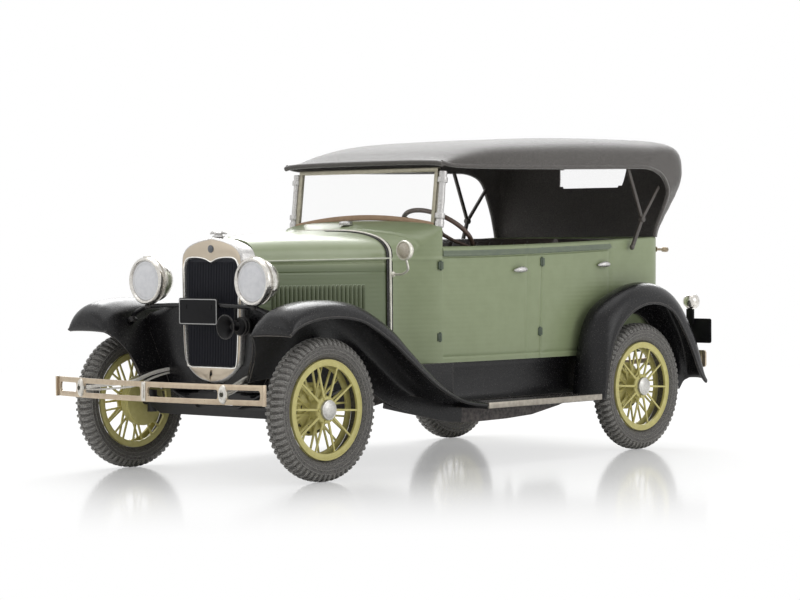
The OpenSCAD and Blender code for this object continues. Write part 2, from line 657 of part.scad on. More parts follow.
steer_x = 320;
steer_y = post_y + 266;
steer_z = belt_z + 78;
steer_tilt = 36;                     // slope of the wheel's plane, in degrees
module at_steering() translate([steer_x, steer_y, steer_z]) rotate([-steer_tilt, 0, 0]) children();
module steering_wheel() color("#4a3a36") at_steering() {
    r = 205;
    rotate_extrude() translate([r, 0]) circle(d = 26);
    translate([0, 0, -16]) cylinder(h = 34, d = 60);
    for (i = [0:3]) rotate([0, 0, i * 90 + 45]) translate([20, -9, -8]) cube([r - 26, 18, 14]);
}
column_l = 560;
module steering_column() color("#2a2a2c") at_steering()
    translate([0, 0, -column_l]) cylinder(h = column_l - 17, d = 34);

module control_levers() color("#2a2a2c") {
    base = floor_z + floor_t + 2 * hair;
    rod([0, post_y + 260, base], [30, post_y + 300, base + 380], 18);
    translate([30, post_y + 300, base + 388]) sphere(d = 34);
    rod([-60, post_y + 240, base], [-60, post_y + 200, base + 330], 18);
}

// ---- lamps, plates and bumpers -----------------------------------------------------------

module headlamp_shells() color("silver") both_sides() {
    r = lamp_d / 2;
    translate([lamp_x, lamp_y, lamp_z]) rotate([90, 0, 0]) rotate_extrude()
        polygon(concat([[0, 2], [r - 14, 2], [r - 14, 12], [r - 6, 16], [r, 10], [r, -14]],
            [for (t = [10:16:90]) [(r - 4) * cos(t), -14 - 140 * sin(t)]]));
}

module headlamp_lenses() color([0.85, 0.88, 0.92, 0.6]) both_sides()
    translate([lamp_x, lamp_y - 2 - hair, lamp_z]) rotate([90, 0, 0]) rotate_extrude()
        polygon([[0, 0], [lamp_d / 2 - 15, 0], [lamp_d / 2 - 16, 8], [lamp_d / 4, 15], [0, 17]]);

module headlamp_bar() color("#1c1c1e") {
    bar_d = 22;
    half = [[0, bar_z - 2], [lamp_x - 130, bar_z - 8], [lamp_x, bar_z - 15], [lamp_x + 70, bar_z - 36],
        [lamp_x + 116, bar_z - 60]];
    upper = concat([for (i = [len(half) - 1:-1:1]) [-half[i][0], half[i][1]]], half);
    along_y(bar_y - bar_d / 2, bar_y + bar_d / 2)
        polygon(concat(upper, [for (i = [len(upper) - 1:-1:0]) upper[i] - [0, bar_d]]));
    // Sockets under the lamps.
    both_sides() translate([lamp_x, bar_y, bar_z - 26]) cylinder(h = 11, d = 40);
}

module horn() color("#1c1c1e") {
    mouth = [252, bar_y - 54, bar_z - 122];
    translate(mouth) rotate([90, 0, 0]) rotate_extrude()
        polygon([[0, -150], [30, -146], [44, -120], [44, -76], [22, -66], [24, -40], [38, -14],
            [62, 6], [62, 12], [54, 12], [30, -12], [0, -20]]);
    rod(mouth + [0, 58, 34], [mouth[0], bar_y + 22, bar_z - 28], 18);
}

plate_w = 282;
plate_h = 124;
module front_number_plate() color("#141416")
    translate([0, bar_y - 11 - hair, bar_z - 56]) rotate([90, 0, 0])
        linear_extrude(8) offset(8) square([plate_w - 16, plate_h - 16], center = true);

rear_plate_x = wheel_x - 10;
rear_plate_y = rear_y + 566;
rear_plate_z = axle_z + 304;
module rear_number_plate() color("#141416") {
    translate([rear_plate_x, rear_plate_y, rear_plate_z]) rotate([90, 0, 0])
        linear_extrude(8) offset(8) square([plate_w - 16, 145 - 16], center = true);
    translate([rear_plate_x - 24, rear_plate_y - 22, rear_plate_z + 60]) cube([48, 14, 60]);
    rod([rear_plate_x, rear_plate_y - 15, rear_plate_z + 20],
        [rear_plate_x - 40, rear_plate_y - 120, rear_plate_z + 20], 22);
}

module tail_lamp() color("silver")
    translate([rear_plate_x - 6, rear_plate_y + 30, rear_plate_z + 172]) rotate([90, 0, 0]) {
        cylinder(h = 62, d = 92);
        translate([0, 0, 62]) cylinder(h = 14, d1 = 92, d2 = 60);
        translate([0, 0, -6]) cylinder(h = 6, d = 80);
    }

module cowl_lamps() color("#c8bfa6") both_sides() {
    base = [band_w / 2 + 12, band_y + 14, shoulder_z - 84];
    elbow = [band_w / 2 + 128, band_y - 2, shoulder_z - 66];
    lamp = [band_w / 2 + 150, band_y - 16, shoulder_z + 44];
    translate(lamp) rotate([90, 0, 0]) rotate_extrude()
        polygon([[0, -58], [22, -52], [36, -30], [42, -6], [42, 8], [34, 16], [0, 20]]);
    rod(base, elbow, 14);
    translate(elbow) sphere(d = 18);
    rod(elbow, lamp + [-4, 12, -24], 14);
}

// The slotted bumper is bent to a shallow bow.
bumper_bow = 93;
bumper_r = (pow(bumper_w / 2, 2) + pow(bumper_bow, 2)) / (2 * bumper_bow);
bumper_y = front_y - front_overhang;
bumper_z = 398;
bumper_t = 14;
clamp_x = 530;

module front_bumper() color("#c9bb9c") {
    half_angle = asin(bumper_w / 2 / bumper_r);
    bar = 36;
    slot = bumper_h - 2 * bar;
    translate([0, bumper_y + bumper_r, bumper_z]) difference() {
        rotate([0, 0, -90 - half_angle]) rotate_extrude(angle = 2 * half_angle, $fn = 200)
            translate([bumper_r - bumper_t, 0]) square([bumper_t, bumper_h]);
        for (part = [[-0.955, -0.74], [-0.62, -0.05], [0.05, 0.62], [0.74, 0.955]]) {
            a0 = -90 + part[0] * half_angle;
            rotate([0, 0, a0]) rotate_extrude(angle = (part[1] - part[0]) * half_angle, $fn = 200)
                translate([bumper_r - bumper_t - 2, bar]) square([bumper_t + 4, slot]);
        }
    }
    bumper_arms();
}

// Arms that carry the front bumper on the frame's rails.
module bumper_arms() both_sides() {
    arm_w = 34;
    a = asin(clamp_x / bumper_r);
    foot_y = bumper_y + bumper_r * (1 - cos(a)) + 4;
    translate([clamp_x, foot_y - 17, bumper_z - 3]) cylinder(h = bumper_h + 6, d = 26);
    hull() {
        translate([clamp_x - 16, foot_y + 4, bumper_z + bumper_h / 2 - arm_w / 2]) cube([16, 20, arm_w]);
        translate([rail_x + rail_w / 2 + 1, shell_y - 60, frame_z + 20]) cube([12, 30, arm_w]);
    }
    translate([rail_x + rail_w / 2 + 1, shell_y - 62, frame_z + 20]) cube([12, 260, arm_w]);
}

module rear_bumperettes() color("#c9bb9c") both_sides() {
    y = rear_y + rear_overhang - bumper_t;
    x0 = 330;
    x1 = 775;
    z = 452;
    difference() {
        translate([x0, y, z]) cube([x1 - x0, bumper_t, 100]);
        translate([x0 + 34, y - 1, z + 35]) cube([x1 - x0 - 68, bumper_t + 2, 30]);
    }
    translate([500, y - 10, z + 34]) cube([34, 11, 32]);
    hull() {
        translate([500, y - 26, z + 34]) cube([34, 20, 32]);
        translate([rail_x + rail_w / 2 + 1, tail_y - 80, frame_z + 30]) cube([14, 30, 32]);
    }
}

module door_handles() color("silver") both_sides()
    for (q = [[0.315, 0], [0.71, -6]]) {
        y = mix(post_y, tail_y, q[0]);
        x = body_w / 2 + q[1];
        translate([x, y, belt_z - 130]) rotate([0, 90, 0]) cylinder(h = 26, d = 16);
        translate([x + 20, y - 40, belt_z - 138]) cube([14, 92, 16]);
    }

// ---- nodes -------------------------------------------------------------------------------

// One node at the model's own size.
module reduced() scale(1 / scale_ratio) children();
module show(name) reduced() children();

show("chassis_frame") chassis_frame();
show("floor_pan") floor_pan();
show("engine_sump") engine_sump();
show("exhaust") exhaust();
show("front_axle") front_axle();
show("rear_axle") rear_axle();
show("front_spring") front_spring();
show("rear_spring") rear_spring();
show("fender_front_left") front_fender();
show("fender_front_right") mirror([1, 0, 0]) front_fender();
show("fender_rear_left") rear_fender();
show("fender_rear_right") mirror([1, 0, 0]) rear_fender();
show("running_board_left") running_board();
show("running_board_right") mirror([1, 0, 0]) running_board();
show("splash_aprons") splash_aprons();
show("body_tub") body_tub();
show("cowl") cowl();
show("bonnet") bonnet();
show("cowl_band") cowl_band();
show("dashboard") dashboard();
show("radiator_shell") radiator_shell();
show("radiator_core") radiator_core();
show("filler_caps") filler_caps();
show("windscreen_frame") windscreen_frame();
show("windscreen_glass") windscreen_glass();
show("windscreen_posts") windscreen_posts();
show("soft_top") soft_top();
show("rear_window") rear_window();
show("top_irons") top_irons();
show("top_rests") top_rests();
show("front_seat") front_seat();
show("rear_seat") rear_seat();
show("steering_wheel") steering_wheel();
show("steering_column") steering_column();
show("control_levers") control_levers();
show("headlamp_shells") headlamp_shells();
show("headlamp_lenses") headlamp_lenses();
show("headlamp_bar") headlamp_bar();
show("horn") horn();
show("front_number_plate") front_number_plate();
show("rear_number_plate") rear_number_plate();
show("tail_lamp") tail_lamp();
show("cowl_lamps") cowl_lamps();
show("front_bumper") front_bumper();
show("rear_bumperettes") rear_bumperettes();
show("door_handles") door_handles();
for (left = [true, false], front = [true, false]) {
    place = str(front ? "front_" : "rear_", left ? "left" : "right");
    show(str("tyre_", place)) at_wheel(left, front) tyre();
    show(str("wheel_", place)) at_wheel(left, front) spoked_wheel();
    show(str("hub_cap_", place)) at_wheel(left, front) hub_cap();
}
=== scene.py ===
"""Looks for the 1:87 model of an open touring car of about 1930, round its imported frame.

Lengths are written in millimetres of the full-size car, from the part's own origin: X to the car's
left, Y to its rear, Z up. MM turns them into metres of the model.
"""

import math

import bmesh
import bpy
from mathutils import Matrix, Vector


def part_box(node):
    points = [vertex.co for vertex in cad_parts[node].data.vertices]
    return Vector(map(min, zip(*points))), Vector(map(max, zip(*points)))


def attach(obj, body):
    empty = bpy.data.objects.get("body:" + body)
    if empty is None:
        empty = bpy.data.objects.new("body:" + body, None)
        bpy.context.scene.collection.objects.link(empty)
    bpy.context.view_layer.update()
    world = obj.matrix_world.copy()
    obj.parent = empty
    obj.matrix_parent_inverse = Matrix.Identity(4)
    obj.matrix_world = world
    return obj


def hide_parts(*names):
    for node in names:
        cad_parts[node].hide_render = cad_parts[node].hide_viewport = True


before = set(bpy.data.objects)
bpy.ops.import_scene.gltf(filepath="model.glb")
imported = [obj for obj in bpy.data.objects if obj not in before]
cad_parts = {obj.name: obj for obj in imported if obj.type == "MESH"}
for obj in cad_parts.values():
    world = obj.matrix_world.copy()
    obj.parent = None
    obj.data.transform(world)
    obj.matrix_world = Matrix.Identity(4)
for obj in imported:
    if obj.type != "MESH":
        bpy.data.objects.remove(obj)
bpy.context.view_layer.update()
scene = bpy.context.scene
scene.view_settings.view_transform = "Standard"

# ---- stand, light and camera --------------------------------------------------------------
# The model stands on a white glossy sheet that runs up into a white background. A broad soft box
# hangs over it and two weaker ones light its front and its left side.

MM = 0.001 / 87


def emptied(data):
    """A data block's own node tree, with nothing in it yet."""
    data.use_nodes = True
    data.node_tree.nodes.clear()
    return data.node_tree


def adder(tree):
    """A function that adds a node to the tree, with a value or a link for each of its inputs."""
    def add(kind, inputs=(), **settings):
        made = tree.nodes.new(kind)
        for name, value in settings.items():
            setattr(made, name, value)
        for key, value in dict(inputs).items():
            if isinstance(value, bpy.types.NodeSocket):
                tree.links.new(value, made.inputs[key])
            else:
                made.inputs[key].default_value = value
        return made
    return add


def add_camera():
    """The camera looks at the left front corner from just above the wheels, with a long lens."""
    azimuth, elevation, roll = (math.radians(a) for a in (42.124, 1.306, 0.360))
    back = Vector((math.sin(azimuth) * math.cos(elevation), -math.cos(azimuth) * math.cos(elevation),
                   math.sin(elevation)))
    data = bpy.data.cameras.new("camera")
    data.sensor_width = 36
    data.lens = 117.58
    data.clip_start = 0.001
    data.clip_end = 10
    camera = bpy.data.objects.new("camera", data)
    camera.location = Vector((9821, -10821, 1214)) * MM
    turn = (-back).to_track_quat("-Z", "Y").to_matrix() @ Matrix.Rotation(-roll, 3, "Z")
    camera.rotation_euler = turn.to_euler()
    scene.collection.objects.link(camera)
    scene.camera = camera


def add_soft_box(name, place, aim, size, power):
    """A square area lamp at place that faces aim."""
    data = bpy.data.lights.new(name, "AREA")
    data.shape = "SQUARE"
    data.size = size
    data.energy = power
    lamp = bpy.data.objects.new(name, data)
    lamp.location = place
    lamp.rotation_euler = (Vector(aim) - Vector(place)).to_track_quat("-Z", "Y").to_euler()
    scene.collection.objects.link(lamp)


def add_world(light_strength):
    """White to the camera and in reflections, and a weaker white as light."""
    world = bpy.data.worlds.new("white_room")
    add = adder(emptied(world))
    path = add("ShaderNodeLightPath").outputs
    seen = add("ShaderNodeMath", {0: path["Is Camera Ray"], 1: path["Is Glossy Ray"]},
               operation="MAXIMUM").outputs[0]
    clear = add("ShaderNodeMath", {0: seen, 1: path["Is Transmission Ray"]},
                operation="MAXIMUM").outputs[0]
    strength = add("ShaderNodeMapRange", {"To Min": light_strength, "To Max": 1.0, "Value": clear})
    light = add("ShaderNodeBackground", {"Color": (1, 1, 1, 1), "Strength": strength.outputs[0]})
    add("ShaderNodeOutputWorld", {"Surface": light.outputs[0]})
    scene.world = world


def add_floor(radius, fade_start, fade_end):
    """A glossy white disc whose rim fades into the background."""
    bm = bmesh.new()
    bmesh.ops.create_circle(bm, cap_ends=True, segments=128, radius=radius)
    mesh = bpy.data.meshes.new("floor")
    bm.to_mesh(mesh)
    bm.free()
    floor = bpy.data.objects.new("floor", mesh)
    scene.collection.objects.link(floor)
    look = bpy.data.materials.new("white_sheet")
    add = adder(emptied(look))
    place = add("ShaderNodeTexCoord").outputs["Object"]
    away = add("ShaderNodeVectorMath", {0: place, 1: (0.67, -0.74, 0)}, operation="DOT_PRODUCT")
    fade = add("ShaderNodeMapRange", {"From Min": fade_start, "From Max": fade_end, "To Min": 0.30,
                                      "Value": away.outputs["Value"]},
               interpolation_type="SMOOTHSTEP").outputs[0]
    aside = add("ShaderNodeVectorMath", {0: place}, operation="LENGTH").outputs["Value"]
    rim = add("ShaderNodeMapRange", {"From Min": 0.06, "From Max": 0.12, "Value": aside}).outputs[0]
    widest = add("ShaderNodeMath", {0: fade, 1: rim}, operation="MAXIMUM").outputs[0]
    seen = add("ShaderNodeLightPath").outputs["Is Camera Ray"]
    share = add("ShaderNodeMath", {0: widest, 1: seen}, operation="MULTIPLY").outputs[0]
    sheet = add("ShaderNodeBsdfPrincipled", {"Base Color": (0.95, 0.95, 0.945, 1), "Roughness": 0.10,
                                             "IOR": 1.38}).outputs[0]
    white = add("ShaderNodeEmission").outputs[0]
    mixed = add("ShaderNodeMixShader", {0: share, 1: sheet, 2: white}).outputs[0]
    add("ShaderNodeOutputMaterial", {"Surface": mixed})
    mesh.materials.append(look)


add_camera()
add_soft_box("overhead", (-0.02, 0.01, 0.14), (0, 0, 0.01), 0.16, 0.080)
add_soft_box("back", (-0.12, 0.15, 0.15), (0, 0, 0.01), 0.17, 0.50)
add_soft_box("front", (-0.07, -0.15, 0.08), (0, 0, 0.01), 0.10, 0.014)
add_soft_box("left", (0.16, 0.05, 0.07), (0, 0, 0.01), 0.10, 0.054)
add_world(0.50)
add_floor(0.6, 0.012, 0.046)

# ---- tyres --------------------------------------------------------------------------------
# Each tyre is soft black vinyl pressed over the wheel's rings. The wall carries fine ribs and a
# knurled band, drawn only as a fine bump over the whole tyre and pale speckles of painted glint, and
# two staggered rows of chunky blocks make the tread. The blocks take a lighter copy of the vinyl, a
# painted highlight, and pale painted highlights run along all edges.

PLACES = ("front_left", "front_right", "rear_left", "rear_right")
MERGE = 0.02 * MM


def finish(name, colour, rough, metal=0.0, second=None, patch=0.25, blend=0.5, grain=0.0,
           grain_size=0.03, lines=0.0, edge_wear_and_highlight=None, edge_band=0.04, edge_band_share=0.7, coat=0.0,
           sheen=0.0, sheen_rough=0.5, specular=0.5, glint_flecks=0.0, low_shade=None):
    """A painted, moulded or plated finish. Sizes are in millimetres of the model.

    second is mottled into colour in patches. grain is the depth of a fine bump, lines that of the
    faint level layers left by the mould, edge_wear_and_highlight the pale colour laid along edges,
    partly wear and partly painted highlight, and glint_flecks the share of small pale speckles of
    painted glint. low_shade is (height, fade, colour) of painted shade below that height.
    """
    look = bpy.data.materials.new(name)
    look.diffuse_color = (*colour, 1)
    add = adder(emptied(look))
    place = add("ShaderNodeTexCoord").outputs["Object"]

    def noise(size, detail, rough_share=0.5):
        """Even noise whose spots are about size millimetres wide."""
        return add("ShaderNodeTexNoise", {"Scale": 1000 / size, "Detail": detail, "Vector": place,
                                          "Roughness": rough_share}).outputs["Fac"]

    def mapped(value, start, end, low=0.0, high=1.0, curve="LINEAR"):
        """The value's run from start to end, stretched from low to high."""
        return add("ShaderNodeMapRange", {"Value": value, "From Min": start, "From Max": end,
                                          "To Min": low, "To Max": high},
                   interpolation_type=curve).outputs[0]

    def over(under, upper, share):
        """The colour upper laid over under where share is high."""
        return add("ShaderNodeMix", {"Factor": share, "A": under, "B": (*upper, 1)},
                   data_type="RGBA").outputs["Result"]

    patches = noise(patch, 4)
    top_colour = over((*colour, 1), second or [c * 0.86 for c in colour],
                      mapped(patches, 0.35, 0.65, high=blend))
    # Painted shade: a darker colour below a given height.
    if low_shade:
        height, fade, dark = low_shade
        up = add("ShaderNodeSeparateXYZ", {0: place}).outputs["Z"]
        depth = mapped(up, height * MM, (height - fade) * MM, curve="SMOOTHSTEP")
        top_colour = over(top_colour, dark, depth)
    # Small pale speckles of painted glint.
    if glint_flecks:
        glint_mask = mapped(noise(0.075, 3, 0.7), 0.60, 0.68, high=glint_flecks)
        top_colour = over(top_colour, (0.52, 0.50, 0.47), glint_mask)
    # Pale colour along edges: partly wear, partly painted highlight.
    if edge_wear_and_highlight:
        eased = add("ShaderNodeBevel", {"Radius": edge_band * 0.001}, samples=4).outputs[0]
        true = add("ShaderNodeNewGeometry").outputs["Normal"]
        bend = add("ShaderNodeVectorMath", {0: eased, 1: true}, operation="DOT_PRODUCT")
        edge_band_mask = mapped(bend.outputs["Value"], 0.98, 0.80, high=edge_band_share)
        edge_wear_and_highlight_mask = add("ShaderNodeMath", {0: edge_band_mask, 1: patches}, operation="MULTIPLY").outputs[0]
        top_colour = over(top_colour, edge_wear_and_highlight, edge_wear_and_highlight_mask)

    layers, relief = {}, {}
    if lines:
        wave = add("ShaderNodeTexWave", {"Scale": 1000 / 0.9, "Distortion": 0.6, "Vector": place},
                   bands_direction="Z").outputs["Fac"]
        layers["Normal"] = add("ShaderNodeBump", {"Strength": 0.5, "Distance": lines * 0.001,
                                                  "Height": wave}).outputs[0]
    if grain:
        relief["Normal"] = add("ShaderNodeBump", {"Strength": 0.6, "Distance": grain * 0.001,
                                                  "Height": noise(grain_size, 3), **layers}).outputs[0]
    gloss = mapped(patches, 0, 1, max(0.03, rough - 0.07), min(1.0, rough + 0.07))
    surface = add("ShaderNodeBsdfPrincipled", {
        "Base Color": top_colour, "Roughness": gloss, "Metallic": metal, "Coat Weight": coat,
        "Coat Roughness": 0.12, "Sheen Weight": sheen, "Sheen Roughness": sheen_rough,
        "Specular IOR Level": specular, **relief})
    add("ShaderNodeOutputMaterial", {"Surface": surface.outputs[0]})
    return look


def loft(rows, round_rows=False, round_cols=False, caps=False):
    """A skin over rows of points, as points and faces. The rows may close into a ring."""
    count, width = len(rows), len(rows[0])
    points = [tuple(p) for row in rows for p in row]
    faces = []
    for r in range(count if round_rows else count - 1):
        for c in range(width if round_cols else width - 1):
            a, b = r * width + c, r * width + (c + 1) % width
            below = ((r + 1) % count) * width
            faces.append((a, b, below + (c + 1) % width, below + c))
    if caps:
        faces.append(tuple(reversed(range(width))))
        faces.append(tuple(range((count - 1) * width, count * width)))
    return points, faces


def together(*parts):
    """Several skins as one."""
    points, faces = [], []
    for more, their_faces in parts:
        start = len(points)
        points += more
        faces += [tuple(i + start for i in face) for face in their_faces]
    return points, faces


def mirrored(part):
    """The same skin on the car's other side."""
    points, faces = part
    return [(-x, y, z) for x, y, z in points], [tuple(reversed(face)) for face in faces]


def spun(profile, centre, axis, steps=48):
    """A profile of (radius, distance along the axis) turned round an axis through centre."""
    out = Vector(axis).normalized()
    side = out.orthogonal().normalized()
    up = out.cross(side)
    rows = []
    for k in range(steps):
        a = 2 * math.pi * k / steps
        spoke = side * math.cos(a) + up * math.sin(a)
        rows.append([Vector(centre) + spoke * r + out * h for r, h in profile])
    return loft(rows, round_rows=True)


def both(part):
    """A left side's skin and its twin on the right."""
    return together(part, mirrored(part))


def raw(name, part, shape):
    """A new object whose mesh is a skin, merged where points meet and then worked on by shape."""
    points, faces = part
    mesh = bpy.data.meshes.new(name)
    mesh.from_pydata([[c * MM for c in p] for p in points], [], faces)
    bm = bmesh.new()
    bm.from_mesh(mesh)
    bmesh.ops.remove_doubles(bm, verts=bm.verts, dist=MERGE)
    shape(bm)
    bm.to_mesh(mesh)
    bm.free()
    made = bpy.data.objects.new(name, mesh)
    scene.collection.objects.link(made)
    return made


def round_edges(made, width, angle, segments=2):
    """Rounds the edges of an object that bend by more than angle."""
    edge = made.modifiers.new("edges", "BEVEL")
    edge.width = width * MM
    edge.segments = segments
    edge.limit_method = "ANGLE"
    edge.angle_limit = math.radians(angle)
    edge.use_clamp_overlap = True


def piece(name, part, look, body="root", stands_for=(), bevel=0.0, segments=2,
          wall=0.0, angle=38, solid=True):
    """A finished piece of the object: a mesh at the origin that rides on its body."""
    def clean(bm):
        """Drops faces without area, and turns those of a closed skin outwards."""
        bmesh.ops.dissolve_degenerate(bm, edges=bm.edges, dist=MERGE)
        if solid:
            bmesh.ops.recalc_face_normals(bm, faces=bm.faces)

    made = raw(name, part, clean)
    if wall:
        skin = made.modifiers.new("wall", "SOLIDIFY")
        skin.thickness = abs(wall) * MM
        skin.offset = math.copysign(1, wall)
    if bevel:
        round_edges(made, bevel, angle, segments)
    return settled(made, look, body, stands_for, angle)


def settled(made, look, body, stands_for, angle=38):
    """Turns a piece's modifiers into plain mesh, then gives it its finish and body."""
    depsgraph = bpy.context.evaluated_depsgraph_get()
    mesh = bpy.data.meshes.new_from_object(made.evaluated_get(depsgraph))
    made.modifiers.clear()
    made.data = mesh
    mesh.materials.clear()
    mesh.materials.append(look)
    mesh.shade_smooth()
    mesh.set_sharp_from_angle(angle=math.radians(angle))
    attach(made, body)
    return declared(made, stands_for)


def declared(made, stands_for):
    """Hides the CAD nodes that a piece stands for."""
    if stands_for:
        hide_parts(*stands_for)
    return made


def build_repeat_tree():
    """A node tree that sets copies of one piece at even steps, and turns each a little further."""
    tree = bpy.data.node_groups.new("copies in even steps", "GeometryNodeTree")
    face = tree.interface
    face.new_socket("Geometry", in_out="INPUT", socket_type="NodeSocketGeometry")
    for label, kind in (("Piece", "Object"), ("Count", "Int"), ("First place", "Vector"),
                        ("Step", "Vector"), ("First turn", "Vector"), ("Turn", "Vector"),
                        ("Finish", "Material")):
        face.new_socket(label, in_out="INPUT", socket_type="NodeSocket" + kind)
    face.new_socket("Geometry", in_out="OUTPUT", socket_type="NodeSocketGeometry")
    add = adder(tree)
    given = add("NodeGroupInput").outputs
    index = add("GeometryNodeInputIndex").outputs[0]

    def stepped(first, step):
        """The first value and as many steps as the copy's number."""
        far = add("ShaderNodeVectorMath", {0: given[step], "Scale": index}, operation="SCALE")
        return add("ShaderNodeVectorMath", {0: given[first], 1: far.outputs[0]}).outputs[0]

    points = add("GeometryNodePoints", {"Count": given["Count"],
                                        "Position": stepped("First place", "Step")})
    source = add("GeometryNodeObjectInfo", {"Object": given["Piece"]})
    copies = add("GeometryNodeInstanceOnPoints", {
        "Points": points.outputs[0], "Instance": source.outputs["Geometry"],
        "Rotation": stepped("First turn", "Turn")})
    real = add("GeometryNodeRealizeInstances", {0: copies.outputs[0]})
    coat = add("GeometryNodeSetMaterial", {"Geometry": real.outputs[0], "Material": given["Finish"]})
    add("NodeGroupOutput", {0: coat.outputs[0]})
    return tree


repeat_tree = build_repeat_tree()


def copies(name, part, count, look, body="root", slot=None, place=(0, 0, 0), step=(0, 0, 0),
           turn=(0, 0, 0), first_turn=(0, 0, 0), bevel=0.0, angle=38):
    """count copies of a skin in even steps, as one mesh."""
    def soften(bm):
        """Turns the faces outwards and bevels the sharp edges."""
        bmesh.ops.recalc_face_normals(bm, faces=bm.faces)
        if bevel:
            sharp = [e for e in bm.edges if len(e.link_faces) == 2
                     and e.calc_face_angle() > math.radians(angle)]
            bmesh.ops.bevel(bm, geom=sharp, offset=bevel * MM, segments=1, affect="EDGES",
                            clamp_overlap=True)

    one = raw("one of " + name, part, soften)
    made = bpy.data.objects.new(name, bpy.data.meshes.new(name))
    scene.collection.objects.link(made)
    modifier = made.modifiers.new("copies", "NODES")
    modifier.node_group = repeat_tree
    values = {"Piece": one, "Count": count, "First place": Vector(place) * MM,
              "Step": Vector(step) * MM, "First turn": [math.radians(a) for a in first_turn],
              "Turn": [math.radians(a) for a in turn], "Finish": look}
    for socket in repeat_tree.interface.items_tree:
        if socket.in_out == "INPUT" and socket.name in values:
            modifier[socket.identifier] = values[socket.name]
    bpy.context.view_layer.update()
    result = settled(made, look, body, (), angle)
    bpy.data.objects.remove(one)
    return result


def joined(name, *objects, slot=None, stands_for=()):
    """Several meshes of one body as one piece."""
    first = objects[0]
    with bpy.context.temp_override(active_object=first, object=first,
                                   selected_editable_objects=list(objects),
                                   selected_objects=list(objects)):
        bpy.ops.object.join()
    first.name = name
    return declared(first, stands_for)


def full(node):
    """A CAD node's lowest and highest corners, in full-size millimetres."""
    low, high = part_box(node)
    return low / MM, high / MM


def heading(line, i):
    """The direction of a line at its point i."""
    return (line[min(i + 1, len(line) - 1)] - line[max(i - 1, 0)]).normalized()


def smooth_line(points, steps):
    """A smooth curve through the points, as steps + 1 points at even shares."""
    points = [Vector(p) for p in points]
    last = len(points) - 1
    line = []
    for k in range(steps + 1):
        u = k * last / steps
        i = min(int(u), last - 1)
        t = u - i
        a, b, c, d = (points[j] for j in (max(i - 1, 0), i, i + 1, min(i + 2, last)))
        line.append(0.5 * (2 * b + (c - a) * t + (2 * a - 5 * b + 4 * c - d) * t ** 2
                           + (3 * b - a - 3 * c + d) * t ** 3))
    return line


rubber = finish("tyre_vinyl", (0.026, 0.025, 0.024), 0.55, second=(0.21, 0.20, 0.185),
                patch=0.055, blend=0.9, grain=0.045, grain_size=0.07, specular=0.4,
                edge_wear_and_highlight=(0.66, 0.64, 0.60), edge_band=0.08, edge_band_share=1.0)
tread_rubber_lit = finish("tread_vinyl_lit", (0.075, 0.072, 0.068), 0.5, second=(0.34, 0.33, 0.31),
                      patch=0.05, blend=0.95, grain=0.04, grain_size=0.06, specular=0.4,
                      edge_wear_and_highlight=(0.80, 0.78, 0.74), edge_band=0.06, edge_band_share=1.0)

BLOCKS = 64
WALL_RIBS = (0.30, 0.50, 0.70)


def tyre_skin(radius, bead, half):
    """The carcass: a round section whose crown lies a block's height under the tread."""
    crown = radius - 12
    outer = smooth_line([(bead, half * 0.52, 0), (bead + 14, half * 0.74, 0), (bead + 34, half * 0.92, 0),
                         ((radius + bead) / 2 + 8, half * 0.985, 0), (crown - 22, half * 0.90, 0),
                         (crown - 7, half * 0.66, 0), (crown - 1, half * 0.36, 0), (crown, 0, 0)], 56)
    side = []
    for k, p in enumerate(outer):
        share = (p[0] - bead) / (crown - bead)
        rib = max(0.0, 1 - min(abs(share - s) for s in WALL_RIBS) / 0.035)
        side.append((p[0], p[1] + (2.4 * rib if share < 0.82 else 0)))
    return [(r, -h) for r, h in side] + [(r, h) for r, h in reversed(side[:-1])]


def block(radius, half, sign):
    """One shoulder block, from the middle of the tread over the shoulder, with a slanted flank."""
    top = [(3, radius), (half * 0.44, radius - 2), (half * 0.70, radius - 9),
           (half * 0.90, radius - 26), (half * 0.955, radius - 46)]
    foot = [(x - 2, r - 20) for x, r in top]
    foot[-1] = (half * 0.90, radius - 48)
    wide = math.pi / BLOCKS * 0.50
    rows = []
    for k, (edge, root) in enumerate(zip(top, foot)):
        lean = wide * 0.9 * k / (len(top) - 1) * sign
        rows.append([(sign * x, r * math.sin(a + lean), r * math.cos(a + lean))
                     for (x, r), a in ((root, -wide), (edge, -wide * 0.8), (edge, wide * 0.8), (root, wide))])
    return loft(rows, round_cols=True, caps=True)


for place in PLACES:
    low, high = full("tyre_" + place)
    middle = (low + high) / 2
    radius, half = (high.z - low.z) / 2, (high.x - low.x) / 2
    rim_low, rim_high = full("wheel_" + place)
    bead = (rim_high.z - rim_low.z) / 2 + 1
    profile = tyre_skin(radius, bead, half)
    carcass = piece("tyre_carcass_" + place, spun(profile + profile[:1], middle, (1, 0, 0), 128),
                    rubber, "wheel_body_" + place, ["tyre_" + place])
    tread = [copies(f"tread_{side}_{place}", block(radius, half, side), BLOCKS, tread_rubber_lit,
                    "wheel_body_" + place, "tyre_rubber", place=middle,
                    turn=(360 / BLOCKS, 0, 0), first_turn=(180 / BLOCKS * (side > 0), 0, 0),
                    bevel=1.6)
             for side in (-1, 1)]
    joined("tyre_" + place + "_vinyl", carcass, *tread)

# ---- wheels -------------------------------------------------------------------------------
# Two flat rings are etched with their spokes and set in the tyre: ten straight spokes outside,
# ten crossing pairs inside. Hub, flange and brake drum are turned and painted the same olive lime.

wheel_paint = finish("lime_paint", (0.63, 0.575, 0.225), 0.42, second=(0.50, 0.45, 0.145),
                     patch=0.35, grain=0.004, grain_size=0.04, edge_wear_and_highlight=(0.68, 0.64, 0.36),
                     edge_band=0.03, edge_band_share=0.7)
